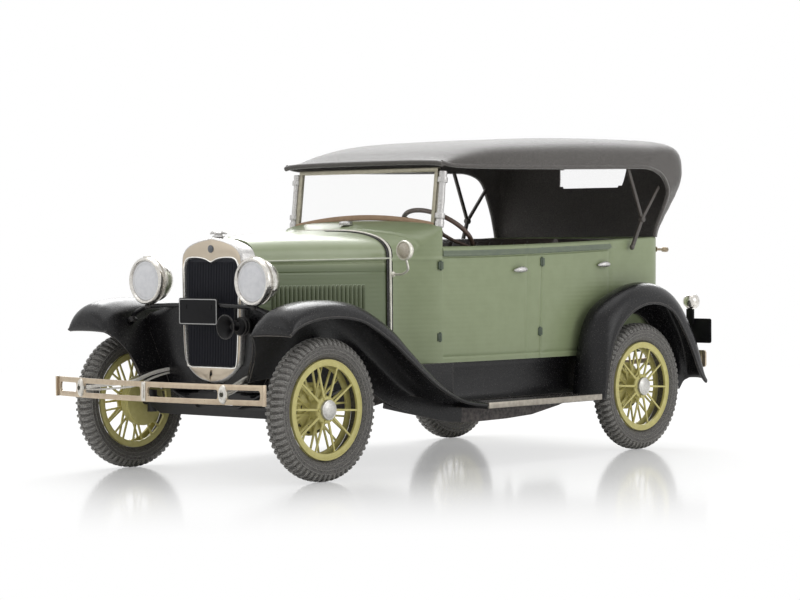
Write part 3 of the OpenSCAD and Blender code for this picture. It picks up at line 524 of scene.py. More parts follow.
# Dark bolts, and painted shade in holes.
bolt_dark_and_hole_shade = finish("bolt_dark_and_hole_shade", (0.030, 0.028, 0.016), 0.6, second=(0.06, 0.055, 0.03), patch=0.08)
cap_silver = finish("hub_silver", (0.62, 0.61, 0.58), 0.38, metal=0.85, second=(0.40, 0.39, 0.37),
                    patch=0.10, blend=0.6, grain=0.006, grain_size=0.05,
                    edge_wear_and_highlight=(0.85, 0.83, 0.78), edge_band=0.03)

RING_OUT, RING_FACE, RING_T = 255, 33, 15
HUB_R, FLANGE_R, DRUM_R = 52, 68, 135
SPOKES, CROSSED, BOLTS, DRUM_RIVETS = 10, 10, 5, 10
SPOKE_ROOT, SPOKE_TIP = 13, 9.5


def ring(x0, x1, inner, outer, steps=96):
    """A flat ring round the wheel's axis, from x0 to x1."""
    return spun([(inner, x0), (outer, x0), (outer, x1), (inner, x1), (inner, x0)],
                (0, 0, 0), (1, 0, 0), steps)


def flat_spoke(x, start, end, root_r, tip_r):
    """A spoke of the etched sheet at depth x, a little narrower at its tip."""
    a, b = (Vector((0, r * math.cos(t), r * math.sin(t)))
            for r, t in ((root_r, math.radians(start)), (tip_r, math.radians(end))))
    aside = (b - a).normalized().cross(Vector((1, 0, 0)))
    rows = []
    for p, width in ((a, SPOKE_ROOT), (b, SPOKE_TIP)):
        rows.append([p + aside * s * width / 2 + Vector((x + d, 0, 0))
                     for s, d in ((-1, -9), (1, -9), (1, 0), (-1, 0))])
    return loft(rows, round_cols=True, caps=True)


def moved(part, place, flip=False):
    """A skin at its place, mirrored in X first for the right side's wheels."""
    points, faces = mirrored(part) if flip else part
    return [tuple(Vector(p) + Vector(place)) for p in points], faces


def wheel_skin():
    """Rings, hub, flange and drum of a left wheel, round the origin."""
    outer_x, inner_x = 45, -30
    return together(
        ring(outer_x - RING_T, outer_x, RING_OUT - RING_FACE, RING_OUT),
        ring(outer_x - 3, outer_x + 2.5, RING_OUT - 7, RING_OUT),
        ring(inner_x - RING_T, inner_x, RING_OUT - RING_FACE, RING_OUT),
        spun([(0, -117), (DRUM_R - 8, -117), (DRUM_R - 8, -108), (DRUM_R, -106), (DRUM_R, -72),
              (DRUM_R - 5, -66), (DRUM_R - 14, -64), (DRUM_R - 22, -58), (DRUM_R - 26, -52),
              (HUB_R + 26, -50), (HUB_R + 14, -44), (HUB_R, -34), (HUB_R - 6, -10),
              (HUB_R - 4, 24), (0, 24)], (0, 0, 0), (1, 0, 0), 72),
        spun([(0, 22), (FLANGE_R, 24), (FLANGE_R + 2, 28), (FLANGE_R + 2, 38), (FLANGE_R - 3, 43),
              (HUB_R + 2, 44), (HUB_R, 47), (0, 47)], (0, 0, 0), (1, 0, 0), 64))


for place in PLACES:
    low, high = full("wheel_" + place)
    flip = place.endswith("right")
    tyre_low, tyre_high = full("tyre_" + place)
    middle = (tyre_low + tyre_high) / 2
    body = "wheel_body_" + place
    side = 180 if flip else 0
    rings = piece("rings_" + place, moved(wheel_skin(), middle, flip), wheel_paint, body,
                  ["wheel_" + place], bevel=1.6)
    tip = RING_OUT - RING_FACE + 4
    straight = copies("straight_" + place, flat_spoke(42, -3, -3, HUB_R + 2, tip), SPOKES,
                      wheel_paint, body, place=middle, turn=(360 / SPOKES, 0, 0),
                      first_turn=(0, 0, side), bevel=1.2)
    crossing = [copies(f"crossing_{lean}_{place}",
                       flat_spoke(-32 - 3 * (lean > 0), 15 - lean * 14, 15 + lean * 9, HUB_R - 4, tip),
                       CROSSED, wheel_paint, body, place=middle, turn=(360 / CROSSED, 0, 0),
                       first_turn=(0, 0, side), bevel=1.2) for lean in (-1, 1)]
    joined("wheel_" + place + "_etched", rings, straight, *crossing)
    bolt = spun([(0, 0), (7, 0), (7, 7), (4, 9), (0, 9)], (0, 0, 0), (1, 0, 0), 6)
    copies("hub_bolts_" + place, moved(bolt, (43, 0, FLANGE_R - 9)), BOLTS, wheel_paint, body,
           "wheel_paint", place=middle, turn=(360 / BOLTS, 0, 0), first_turn=(20, 0, side))
    # The drum's bolt holes and rivets are dark discs: painted shade in the holes.
    dark_hole = spun([(0, -3), (10, -3), (10, 1.5), (0, 1.5)], (0, 0, 0), (1, 0, 0), 12)
    holes = copies("drum_bolts_" + place, moved(dark_hole, (-52, 0, 84)), BOLTS, bolt_dark_and_hole_shade,
                   body, place=middle, turn=(360 / BOLTS, 0, 0), first_turn=(8, 0, side))
    small = copies("drum_rivets_" + place, moved(dark_hole, (-60.5, 0, 116)), DRUM_RIVETS,
                   bolt_dark_and_hole_shade, body, place=middle, turn=(360 / DRUM_RIVETS, 0, 0),
                   first_turn=(22, 0, side))
    joined("wheel_" + place + "_holes", holes, small)
    cap = spun([(0, 46), (50, 46), (52, 48), (52, 58), (50, 62), (45, 64), (43, 63), (36, 67),
                (24, 70), (12, 71.6), (0, 72)], (0, 0, 0), (1, 0, 0), 48)
    piece("hub_cap_" + place + "_plated", moved(cap, middle, flip), cap_silver, body,
          ["hub_cap_" + place])

# ---- fenders ------------------------------------------------------------------------------
# The four fenders are thin black mouldings with a rolled hem along the outer edge. Silvery brown
# painted highlights run along hems and corners, small pale speckles are painted glints, and the
# glossy crowns catch the light.

AXLE_Z = 365
FRONT_Y = (full("tyre_front_left")[0].y + full("tyre_front_left")[1].y) / 2
REAR_Y = (full("tyre_rear_left")[0].y + full("tyre_rear_left")[1].y) / 2
ARCH_R = AXLE_Z + 100
FENDER_X, FENDER_TAIL, CROWN_H, SHEET_T = 835, 1160, 90, 14
BODY_W, RAIL_X = 1276, 330
FRONT_ROWS, REAR_ROWS = 84, 64

fender_black = finish("fender_black", (0.0050, 0.0050, 0.0062), 0.25, second=(0.012, 0.011, 0.011),
                      patch=0.20, blend=0.5, grain=0.012, grain_size=0.045,
                      edge_wear_and_highlight=(0.34, 0.31, 0.28), edge_band=0.07, edge_band_share=0.9, specular=0.30, glint_flecks=0.14)


def ramp(t):
    """A smooth step from 0 to 1."""
    t = min(1.0, max(0.0, t))
    return t * t * (3 - 2 * t)


def mix(a, b, t):
    """The number at share t of the way from a to b."""
    return a + (b - a) * t


def up_from(line, i):
    """The direction square to a line in Y and Z at its point i, away from the wheel."""
    d = heading(line, i)
    return Vector((0, -d.z, d.y))


front_edge = [Vector((0, y, z)) for y, z in (
    (-330.2, 381.3), (-269.7, 420.8), (-153.5, 452), (-23.3, 461.3), (102.3, 453.4), (223.2, 423.2),
    (399.9, 331.1), (528, 242), (724, 106), (870, 30), (1000, -14), (1160, -37))]
rear_edge = [Vector((0, y, z)) for y, z in (
    (-444.1, -54), (-372, 232.5), (-241.8, 399.9), (-27.9, 474.3), (186, 432.5), (344.1, 260.4),
    (465, 60.5), (525.5, 0))]


def front_section(s):
    """Cross section of a front fender at share s, as (x, height over the edge)."""
    tip = math.sqrt(ramp(s / 0.13))
    foot, drop = ramp((s - 0.5) / 0.42), ramp(s / 0.1)
    crown = CROWN_H * mix(0.12, 1, tip) * (1 - 0.72 * foot)
    top_x = mix(540, 560, foot)
    low_x = mix(mix(536, RAIL_X + 64, drop), 555, ramp((s - 0.3) / 0.3))
    skirt = mix(mix(8, 305, drop), 165, ramp((s - 0.22) / 0.4)) - 80 * ramp((s - 0.6) / 0.3)
    x = FENDER_X
    return [(x, 0), (x - 6, crown * 0.42), (x - 34, crown * 0.78), (x - 78, crown * 0.97),
            (x - 124, crown), (x - 180, crown * 0.97), (mix(top_x, x, 0.24), crown * 0.8),
            (mix(top_x, x, 0.08), crown * 0.45), (top_x, -crown * 0.1),
            (mix(top_x, low_x, 0.5), -skirt * 0.5), (low_x, -skirt)]


def rear_section(s):
    """Cross section of a rear fender at share s."""
    nose, end = ramp(s / 0.25), ramp((s - 0.72) / 0.28)
    crown = (CROWN_H + 34) * mix(0.3, 1, nose) * (1 - 0.6 * end)
    inner = BODY_W / 2 + 3 + 8 * end
    x = FENDER_X
    return [(x, 0), (x - 5, crown * 0.42), (x - 30, crown * 0.76), (x - 66, crown * 0.95),
            (x - 104, crown), (x - 146, crown * 0.93), (inner + 26, crown * 0.72),
            (inner + 8, crown * 0.42), (inner, -4), (inner, -56)]


def beside(shape, distance):
    """A flat line of points moved sideways, to the left of its run."""
    moved_line = []
    for i, q in enumerate(shape):
        d = heading(shape, i)
        moved_line.append(q + Vector((-d.y, d.x, 0)) * distance)
    return moved_line


def nose_sweep(x, s):
    """How far a front fender's inner side is swept forwards at share s."""
    return 55 * ramp((540 - x) / 146) * (1 - ramp((s - 0.10) / 0.14))


def fender_skin(edge, section, axle_y, rows, across):
    """A fender's thin panel, and the line of its outer edge."""
    line = smooth_line(edge, rows)
    skin, hem = [], []
    for i in range(rows + 1):
        up = up_from(line, i)
        shape = smooth_line([(x, h, 0) for x, h in section(i / rows)], across)
        base = line[i] + Vector((0, axle_y, AXLE_Z))
        inner = beside(shape, SHEET_T)
        row = [Vector((q[0], 0, 0)) + base + up * q[1] for q in shape + inner[::-1]]
        for p in row:
            if axle_y < 0:
                p.y -= nose_sweep(p.x, i / rows)
            else:
                p.y -= 62 * ((FENDER_X - p.x) / 194) ** 1.5 * ramp((axle_y - 190 - p.y) / 200)
        skin.append(row)
        hem.append(Vector((FENDER_X - 5, 0, 0)) + base + up * 3)
    return loft(skin, round_cols=True, caps=True), hem


def tube(path, radius, sides=10, caps=True):
    """A round rod along a path. The radius may be one number or one for each point."""
    path = [Vector(p) for p in path]
    radii = radius if isinstance(radius, (list, tuple)) else [radius] * len(path)
    along = [heading(path, i) for i in range(len(path))]
    side = along[0].orthogonal().normalized()
    rows = []
    for p, d, r in zip(path, along, radii):
        side = (side - d * side.dot(d)).normalized()
        up = d.cross(side)
        rows.append([p + (side * math.cos(a) + up * math.sin(a)) * r
                     for a in (2 * math.pi * k / sides for k in range(sides))])
    return loft(rows, round_cols=True, caps=caps)


def as_built(part):
    """A left side's skin as it is."""
    return part


SIDES = (("left", 1, as_built), ("right", -1, mirrored))

for side, sign, on_side in SIDES:
    for end, edge, section, axle_y, rows in (("front", front_edge, front_section, FRONT_Y, FRONT_ROWS),
                                             ("rear", rear_edge, rear_section, REAR_Y, REAR_ROWS)):
        skin, hem = fender_skin(edge, section, axle_y, rows, 40)
        panel = piece(f"panel_{end}_{side}", on_side(skin), fender_black,
                      stands_for=[f"fender_{end}_{side}"], angle=50)
        lip = piece(f"hem_{end}_{side}", on_side(tube(hem, 7)), fender_black)
        joined(f"fender_{end}_{side}_moulding", panel, lip)

# ---- running boards and aprons ------------------------------------------------------------
# A flat black moulding joins the fenders on each side, with a ribbed tread and a bright strip
# along its outer edge. The aprons above it close the gap to the sill, and valances hang under it.

# Near-white painted highlights run along the plating's edges.
champagne = finish("champagne_plate", (0.52, 0.435, 0.32), 0.30, metal=0.80,
                   second=(0.42, 0.32, 0.235), patch=0.35, blend=0.6, grain=0.003, grain_size=0.06,
                   edge_wear_and_highlight=(0.95, 0.92, 0.84), edge_band=0.03, edge_band_share=1.0)

board_silver = finish("board_silver", (0.40, 0.365, 0.31), 0.36, metal=0.80,
                      second=(0.26, 0.235, 0.20), patch=0.3, blend=0.7, grain=0.005, grain_size=0.06)


def box_skin(low, high):
    """A rectangular block between two corners."""
    (x0, y0, z0), (x1, y1, z1) = low, high
    return loft([[(x0, y0, z), (x1, y0, z), (x1, y1, z), (x0, y1, z)] for z in (z0, z1)],
                round_cols=True, caps=True)


BOARD_RIBS, RIB_STEP = 9, 19
low, high = full("running_board_left")
slab = box_skin((low.x, low.y, low.z), (high.x - 6, high.y, high.z - 5))
edge = box_skin((high.x - 9, low.y, low.z + 3), (high.x + 3, high.y, high.z + 1))
rib = box_skin((0, low.y + 30, high.z - 7), (7, high.y - 30, high.z - 1.5))
for side, sign, on_side in SIDES:
    board = piece("board_slab_" + side, on_side(slab), fender_black,
                  stands_for=["running_board_" + side], bevel=4)
    ribs = copies("board_ribs_" + side, on_side(rib), BOARD_RIBS, fender_black,
                  place=(sign * (low.x + 62), 0, 0), step=(sign * RIB_STEP, 0, 0), bevel=1.5)
    joined("running_board_" + side + "_ribbed", board, ribs)
    piece("board_strip_" + side, on_side(edge), board_silver, bevel=2.5)

floor_brown = finish("valance_brown", (0.030, 0.025, 0.024), 0.5, second=(0.16, 0.135, 0.125),
                     patch=0.22, blend=0.8, grain=0.02, grain_size=0.08)
SILL_Z, APRON_X = 555, 562
tail_y, nose_y = FRONT_Y + FENDER_TAIL + 4, full("fender_rear_left")[0].y
fold = smooth_line([(APRON_X + x, z, 0) for x, z in (
    (20, SILL_Z - 1), (20, SILL_Z - 22), (15, 505), (10, 458), (16, 412), (32, 376), (64, 347))], 20)
apron = loft([[(q.x, mix(tail_y, nose_y + 190, k / 24), q.y) for q in fold] for k in range(25)])
cheek = loft([[(APRON_X + 21, tail_y + 1 - d, z) for z in (low_z, SILL_Z - 1)]
              for d, low_z in ((0, 385), (90, 401), (190, 437), (300, 503), (420, 552))])
sheets = [piece(f"{name}_{side}", on_side(part), fender_black, wall=-wall, solid=False)
          for name, part, wall in (("apron", apron, 12), ("cheek", cheek, 14))
          for side, sign, on_side in SIDES]
joined("splash_aprons_moulding", *sheets, slot="black_paint", stands_for=["splash_aprons"])


def valance(*rows):
    """A sheet under the board, from rows of its place along and across the car, top and bottom."""
    return loft([[(x + lean, y, z)
                  for lean, z in ((0, top), (4, mix(top, low_z, 0.5)), (0, low_z))]
                 for y, x, top, low_z in rows])


VALANCE_X, VALANCE_TOP = 604, 350
under = valance(*[(y, VALANCE_X, VALANCE_TOP, low_z) for y, low_z in (
    (-140, 229), (0, 226), (240, 229), (460, 240), (700, 280), (930, 336))])
tail = valance(*[(y, VALANCE_X - tuck, VALANCE_TOP + rise, low_z) for y, tuck, rise, low_z in (
    (-700, 54, 50, 330), (-560, 40, 50, 300), (-440, 26, 28, 276), (-340, 13, 0, 254),
    (-240, 4, 0, 236), (-140, 0, 0, 229))])
for side, sign, on_side in SIDES:
    for name, part, look in (("board", under, floor_brown), ("tail", tail, fender_black)):
        piece(f"{name}_valance_{side}", on_side(part), look, wall=-10, solid=False)

# ---- front shields ------------------------------------------------------------------------
# Thin black sheets close the gaps between the front fenders, the frame and the radiator, as far
# up as the lamps' bar. They are parts of the same black moulding as the fenders.

shield_y = full("radiator_shell")[0].y + 26
SHIELD_LINES = ((440, 60, 390), (500, 60, 394), (544, 60, 398), (580, 190, 418), (614, 206, 434),
                (684, 216, 470), (750, 219, 506), (806, 219, 538), (836, 219, 500), (884, 219, 300))
shield = loft([[(mix(inner_x, outer_x, k / 8), shield_y - 14 * math.sin(math.pi * k / 8), z)
                for k in range(9)] for z, inner_x, outer_x in SHIELD_LINES])
hanging = []
fender_line = smooth_line(front_edge, FRONT_ROWS)
for i in range(9, 54):
    low_x, drop = front_section(i / FRONT_ROWS)[-1]
    hung = Vector((low_x, FRONT_Y, AXLE_Z)) + fender_line[i] + up_from(fender_line, i) * (drop + 20)
    hung.y -= nose_sweep(low_x, i / FRONT_ROWS)
    foot = Vector((RAIL_X + 14, hung.y, 462))
    hanging.append([foot, foot.lerp(hung, 0.5) - Vector((6, 0, 0)), hung])
for side, sign, on_side in SIDES:
    face = piece("shield_face_" + side, on_side(shield), fender_black, wall=-8, solid=False)
    hang = piece("shield_valance_" + side, on_side(loft(hanging)), fender_black, wall=-8, solid=False)
    joined("front_shield_" + side, face, hang, slot="black_paint")

# ---- tub ----------------------------------------------------------------------------------
# The body is one thin moulding in satin sage green, open at the top. Door lines, the belt
# moulding and the sill bead are pressed into it, and faint level layers show in the paint.

# The body's pale edge colour is partly wear and partly painted highlight.
sage = finish("sage_paint", (0.272, 0.322, 0.180), 0.36, second=(0.240, 0.288, 0.155), patch=0.9,
              blend=0.55, grain=0.005, grain_size=0.045, lines=0.007, edge_wear_and_highlight=(0.56, 0.62, 0.46),
              edge_band=0.03, edge_band_share=0.8, specular=0.6)

BELT_Z, BELT_RISE = 1180, 50
POST_Y, TAIL_Y = full("body_tub")[0].y, full("body_tub")[1].y
TUB_WALL, PLAN_STEP, LINE_STEP = 30.6, 20, 2.5
DOOR_LINES = (POST_Y - 58, 390.5, 513.5, 1142.5)


def belt_at(y):
    """Height of the tub's upper edge."""
    return BELT_Z + BELT_RISE * max(0.0, (y - POST_Y) / (TAIL_Y - POST_Y)) ** 1.6


def dent(distance, width, depth):
    """Depth of a pressed line at a distance from its middle."""
    return depth * max(0.0, 1 - (distance / width) ** 2)


tub_half = [Vector((x, y, 0)) for x, y in (
    (BODY_W / 2 - 50, POST_Y), (BODY_W / 2 - 14, mix(POST_Y, TAIL_Y, 0.16)),
    (BODY_W / 2, mix(POST_Y, TAIL_Y, 0.4)), (BODY_W / 2 - 8, mix(POST_Y, TAIL_Y, 0.66)),
    (BODY_W / 2 - 12, mix(POST_Y, TAIL_Y, 0.88)), (BODY_W / 2 - 32, TAIL_Y - 44),
    (BODY_W / 2 - 124, TAIL_Y - 4), (BODY_W / 2 - 330, TAIL_Y - 1), (0, TAIL_Y))]


def tucked(t):
    """The share of its width that the tub keeps at share t of its height."""
    return 1 - 0.018 * (1 - t) ** 2


def tub_plan():
    """The tub's outline from the left front corner round the back, dense at the door lines."""
    line = smooth_line(tub_half, 320)
    keep = []
    last = None
    for p in line:
        near = p.x > BODY_W / 2 - 40 and any(abs(p.y - y) < 22 for y in DOOR_LINES)
        if last is None or (p - last).length > (LINE_STEP if near else PLAN_STEP) or p is line[-1]:
            keep.append(p)
            last = p
    return keep


def tub_skin():
    """The outer face of the tub, with its pressed lines, as rows from the sill to the belt."""
    plan = tub_plan()
    heights = sorted(set([k / 40 for k in range(41)] + [0.028 + 0.004 * k for k in range(8)]
                         + [0.855 + 0.006 * k for k in range(12)]
                         + [0.925 + 0.0075 * k for k in range(11)]))
    rows = []
    for t in heights:
        row = []
        for i, p in enumerate(plan):
            top = belt_at(p.y)
            z = mix(SILL_Z, top, t)
            drop = top - z
            along = heading(plan, i)
            belt_end = 1 - ramp((p.y - 1120) / 120)
            depth = max(dent(z - SILL_Z - 30, 8, 5), dent(drop - 56, 9, 6) * belt_end)
            if p.x > BODY_W / 2 - 40:
                depth = max(depth, *[dent(p.y - y, 9, 8) for y in DOOR_LINES])
            if drop < 48:
                depth -= 5 * math.sin(math.pi * drop / 48) * belt_end
            roll = 10 * (1 - drop / 14) ** 2 if drop < 14 else 0
            outward = Vector((along.y, -along.x, 0))
            row.append(Vector((p.x * tucked(t), p.y, z)) - outward * (depth + roll))
        rows.append(row + [Vector((-q.x, q.y, q.z)) for q in reversed(row[:-1])])
    return rows


piece("body_tub_shell", loft(tub_skin()), sage,
      stands_for=["body_tub"], wall=-TUB_WALL, solid=False, angle=55)

belt_grey = finish("belt_grey", (0.120, 0.150, 0.108), 0.40, second=(0.165, 0.200, 0.130), patch=0.6,
                   blend=0.6, grain=0.006, grain_size=0.05, edge_wear_and_highlight=(0.50, 0.56, 0.42), edge_band_share=0.8)
belt_plan = [p for p in tub_plan() if p.y < 1190]
belt_rows = []
for drop, proud in ((54, -1), (52.5, 5), (48, 7.5), (37, 5.5), (26, 7.5), (22, 5), (20.5, -1)):
    row = []
    for p in belt_plan:
        end = 1 - ramp((p.y - 1130) / 60)
        row.append(Vector((p.x + proud * end - 2 * (1 - end), p.y, belt_at(p.y) - mix(37, drop, end))))
    belt_rows.append(row)
belt = loft(belt_rows)
piece("belt_moulding", both(belt), belt_grey, solid=False)

# ---- doors' hinges and handles ------------------------------------------------------------
# Each door hangs on two small dark hinges at its front edge, and has a cast silver handle with a
# pointed grip near its rear edge.

hinge_green = finish("hinge_green", (0.060, 0.085, 0.058), 0.45, second=(0.12, 0.15, 0.10),
                     patch=0.10, grain=0.006, grain_size=0.04)
silver_paint = finish("silver_paint", (0.66, 0.65, 0.63), 0.34, metal=0.8, second=(0.36, 0.35, 0.35),
                      patch=0.07, blend=0.8, grain=0.018, grain_size=0.07)


def side_x(y, z):
    """The half width of the tub's outer face at a place on its side."""
    line = smooth_line(tub_half, 80)
    x = min(line[:64], key=lambda p: abs(p.y - y)).x
    return x * tucked((z - SILL_Z) / (belt_at(y) - SILL_Z))


def hinge(y, z):
    """A hinge of two small leaves on a barrel."""
    x = side_x(y, z)
    leaf = box_skin((x - 6, y - 17, z - 21), (x + 5, y + 19, z + 21))
    barrel = spun([(0, -27), (6, -26), (6, 26), (0, 27)], (x + 4, y - 2, z), (0, 0, 1), 12)
    return together(leaf, barrel)


def handle(y, z):
    """A cast handle: a boss and a grip that points to the front."""
    x = side_x(y, z)
    boss = spun([(0, -4), (15, -4), (14, 6), (9, 12), (8, 18), (0, 20)], (x, y, z), (1, 0, 0), 16)
    grip = tube([(x + 12, y - 56, z - 3), (x + 17, y - 40, z - 1), (x + 21, y - 14, z + 2),
                 (x + 22, y + 12, z + 3), (x + 18, y + 38, z + 1), (x + 13, y + 54, z - 1)],
                [4, 11, 16, 17, 12, 5], 14)
    return together(boss, grip)


hinges = together(*[hinge(y, z) for y, z in ((-284, 1078), (-286, 694), (517, 1090), (502, 703))])
piece("door_hinges", both(hinges), hinge_green, bevel=2)
handles = together(*[handle(y, belt_at(y) - 140) for y in (318, 1074)])
piece("door_handles_cast", both(handles), silver_paint,
      stands_for=["door_handles"])

# ---- bonnet and cowl ----------------------------------------------------------------------
# The bonnet is in two halves with a centre hinge and a side moulding, and twenty-two pressed
# louvres in each side. The cowl behind it carries a swept crease.

SHELL_TOP_Z, SHELL_W, BAND_W = 1234, 452, BODY_W * 0.724
BONNET_Y0, BONNET_Y1 = full("bonnet")[0].y, full("bonnet")[1].y
BAND_TOP_Z, SHOULDER_Z, COWL_TOP_Z = SHELL_TOP_Z + 30, BELT_Z - 62, BELT_Z + 142
FRONT_HALF = BODY_W / 2 - 50


def arch_row(y, half, low, shoulder, top, power, sides=22, bends=36, press=None):
    """An arch across the car at Y from the left lower edge to the right one."""
    left = [(half, mix(low, shoulder, k / sides)) for k in range(sides)]
    for k in range(bends + 1):
        a = math.radians(90 * k / bends)
        left.append((half * math.cos(a) ** power, shoulder + (top - shoulder) * math.sin(a) ** power))
    row = []
    for i, (x, z) in enumerate(left):
        ax, az = left[max(i - 1, 0)]
        bx, bz = left[min(i + 1, len(left) - 1)]
        along = Vector((bx - ax, 0, bz - az)).normalized()
        outward = Vector((along.z, 0, -along.x))
        q = Vector((x, y, z))
        if press:
            q -= outward * press(q)
        if i == len(left) - 1:
            q.x = 0
        row.append(q)
    return row + [Vector((-q.x, q.y, q.z)) for q in reversed(row[:-1])]


def bonnet_press(q):
    """The side moulding, the line under it and the hinge along the middle."""
    t = (q.y - BONNET_Y0) / (BONNET_Y1 - BONNET_Y0)
    line = mix(1108, 1117, t)
    raised = -dent(q.z - line, 9, 8) if q.x > 150 else 0
    under = dent(q.z - line + 15, 6, 7) if q.x > 150 else 0
    crease = dent(q.z - 1047, 6, 4)
    hinge_line = -dent(abs(q.x), 7, 5) + dent(abs(q.x) - 11, 4, 3)
    return raised + under + crease + hinge_line


def bonnet_row(t):
    """The bonnet's section at share t of its length."""
    shoulder = mix(1110, SHOULDER_Z, t)
    top = mix(SHELL_TOP_Z - 3, BAND_TOP_Z, 1 - (1 - t) ** 2 * (1 - 0.2 * t))
    return arch_row(mix(BONNET_Y0, BONNET_Y1, t), mix(SHELL_W / 2 - 8, BAND_W / 2, t), 600, shoulder,
                    top, 0.72, sides=150, bends=120, press=bonnet_press)


# The bonnet's green is a lighter copy of the body's sage: a painted highlight on its top. Below the side
# moulding it turns to painted shade, and pale painted highlights run along its edges.
bonnet_lit_green = finish("bonnet_lit_green", (0.335, 0.385, 0.235), 0.33, second=(0.300, 0.348, 0.208), patch=0.9,
                      blend=0.55, grain=0.004, grain_size=0.045, lines=0.005, edge_wear_and_highlight=(0.72, 0.76, 0.62),
                      edge_band=0.04, edge_band_share=1.0, specular=0.6, coat=0.15,
                      low_shade=(1106, 46, (0.140, 0.182, 0.082)))
bonnet = piece("bonnet_shell", loft([list(reversed(bonnet_row(k / 24))) for k in range(25)]), bonnet_lit_green,
               wall=-22, solid=False, angle=60)

# The pale bead along each side moulding is a painted highlight.
bead_highlight_green = finish("bead_highlight_green", (0.74, 0.77, 0.64), 0.22, second=(0.50, 0.54, 0.42), patch=0.5)
bead_line = [(mix(SHELL_W / 2 - 8, BAND_W / 2, k / 12) + 8, mix(BONNET_Y0 + 4, BONNET_Y1 - 4, k / 12),
              mix(1111, 1120, k / 12)) for k in range(13)]
bead = tube(bead_line, 4, 10)
piece("bonnet_beads", both(bead), bead_highlight_green)

# A darker copy of the bonnet green: painted shade in the louvres' openings.
louvre_shade_green = finish("louvre_shade_green", (0.135, 0.165, 0.085), 0.40, second=(0.085, 0.105, 0.055),
                      patch=0.08, grain=0.006, grain_size=0.04, edge_wear_and_highlight=(0.34, 0.39, 0.25),
                      edge_band=0.03, edge_band_share=0.8)


def louvre():
    """A pressed louvre: a narrow quarter-round blister, open to the rear."""
    rows = []
    for z, lift in ((804, 0), (812, 0.75), (822, 1), (962, 1), (974, 0.75), (983, 0)):
        rows.append([(lift * h, y, z) for y, h in ((-8, 0), (-4, 7), (4, 11), (9, 11), (10, 0))])
    return loft(rows)


LOUVRES, LOUVRE_STEP, FIRST_LOUVRE_Y = 22, 24.4, -1220.5
slope = math.atan2(BAND_W / 2 - SHELL_W / 2 + 8, BONNET_Y1 - BONNET_Y0)
first_x = mix(SHELL_W / 2 - 8, BAND_W / 2, (FIRST_LOUVRE_Y - BONNET_Y0) / (BONNET_Y1 - BONNET_Y0)) - 0.5
louvres = [copies("louvres_" + side, on_side(louvre()), LOUVRES, louvre_shade_green,
                  place=(sign * first_x, FIRST_LOUVRE_Y, 0),
                  step=(sign * LOUVRE_STEP * math.tan(slope), LOUVRE_STEP, 0),
                  first_turn=(0, 0, -sign * math.degrees(slope)), angle=50)
           for side, sign, on_side in SIDES]
joined("bonnet_shell", bonnet, *louvres, stands_for=["bonnet"])


def crease_distance(y, z):
    """How far a place on the cowl's side lies from the swept crease."""
    path = [(-523, 1137), (-460, 1140), (-410, 1152), (-391, 1184), (-400, 1215), (-424, 1242),
            (-460, 1262), (-523, 1280)]
    best = 1e9
    for (ay, az), (by, bz) in zip(path, path[1:]):
        dy, dz = by - ay, bz - az
        t = min(1, max(0, ((y - ay) * dy + (z - az) * dz) / (dy * dy + dz * dz)))
        best = min(best, math.hypot(y - ay - t * dy, z - az - t * dz))
    return best


def cowl_press(q):
    """The crease, and the hollow that it borders."""
    return dent(crease_distance(q.y, q.z), 11, 5) - dent(q.z - 1112, 10, 4)


def cowl_row(t):
    """The cowl's section at share t of its length, widening to the tub's front posts."""
    return arch_row(mix(BONNET_Y1 + 2, POST_Y - 1, t), mix(BAND_W / 2, FRONT_HALF, ramp(t) * 0.5 + t * 0.5),
                    SILL_Z, mix(SHOULDER_Z, BELT_Z + 92, t * t), mix(BAND_TOP_Z, COWL_TOP_Z, t),
                    mix(0.72, 0.9, t), sides=110, bends=90, press=cowl_press)


piece("cowl_shell", loft([list(reversed(cowl_row(k / 60))) for k in range(61)]), sage,
      stands_for=["cowl"], wall=-30, solid=False, angle=60)

band_cream = finish("band_cream", (0.92, 0.90, 0.81), 0.24, metal=0.30, second=(0.60, 0.56, 0.45),
                    patch=0.4, blend=0.5, grain=0.004, grain_size=0.05)
band_line = arch_row(BONNET_Y1, BAND_W / 2 + 3, 575, SHOULDER_Z, BAND_TOP_Z + 4, 0.72, 12, 40)


def round_band(*stations):
    """A strip over the band's arch, from its (place along the car, height over the arch) stations."""
    return loft([[q + Vector((0, d, 0)) + (q - Vector((0, q.y, 900))).normalized() * h
                  for q in band_line] for d, h in stations])


band = round_band((-8, -4), (-8, 5), (-5, 9), (3, 9), (6, 5), (6, -4))
piece("cowl_band_strip", band, band_cream, stands_for=["cowl_band"], solid=False)
black_bead = round_band((-24, -5), (-23, 1.5), (-19, 2.5), (15, 2.5), (20, 1.5), (21, -5))
piece("cowl_band_bead", black_bead, fender_black, solid=False)

piece("dashboard_panel", loft([[(q.x, POST_Y - 30 + d, q.z) for q in
                                arch_row(0, FRONT_HALF - 54, 1010, 1195, COWL_TOP_Z - 66, 0.88, 6, 24)]
                               for d in (0, 24)], caps=True), sage,
      stands_for=["dashboard"], bevel=4)
dial_face = finish("dial_face", (0.55, 0.54, 0.50), 0.35, second=(0.4, 0.39, 0.36), patch=0.2)
dials = together(*[spun([(0, 24), (r, 24), (r, 30), (r - 6, 30), (r - 8, 27), (0, 27)],
                        (x, POST_Y - 30, 1150), (0, 1, 0), 24)
                   for x, r in ((0, 40), (-92, 22), (92, 22))])
piece("dashboard_dials", dials, dial_face)

# ---- radiator -----------------------------------------------------------------------------
# A plated shell with a two-humped opening and a small prow below it, round a dark core with fine
# upright tubes. The badge is a plain round disc, and the cap has two wings.

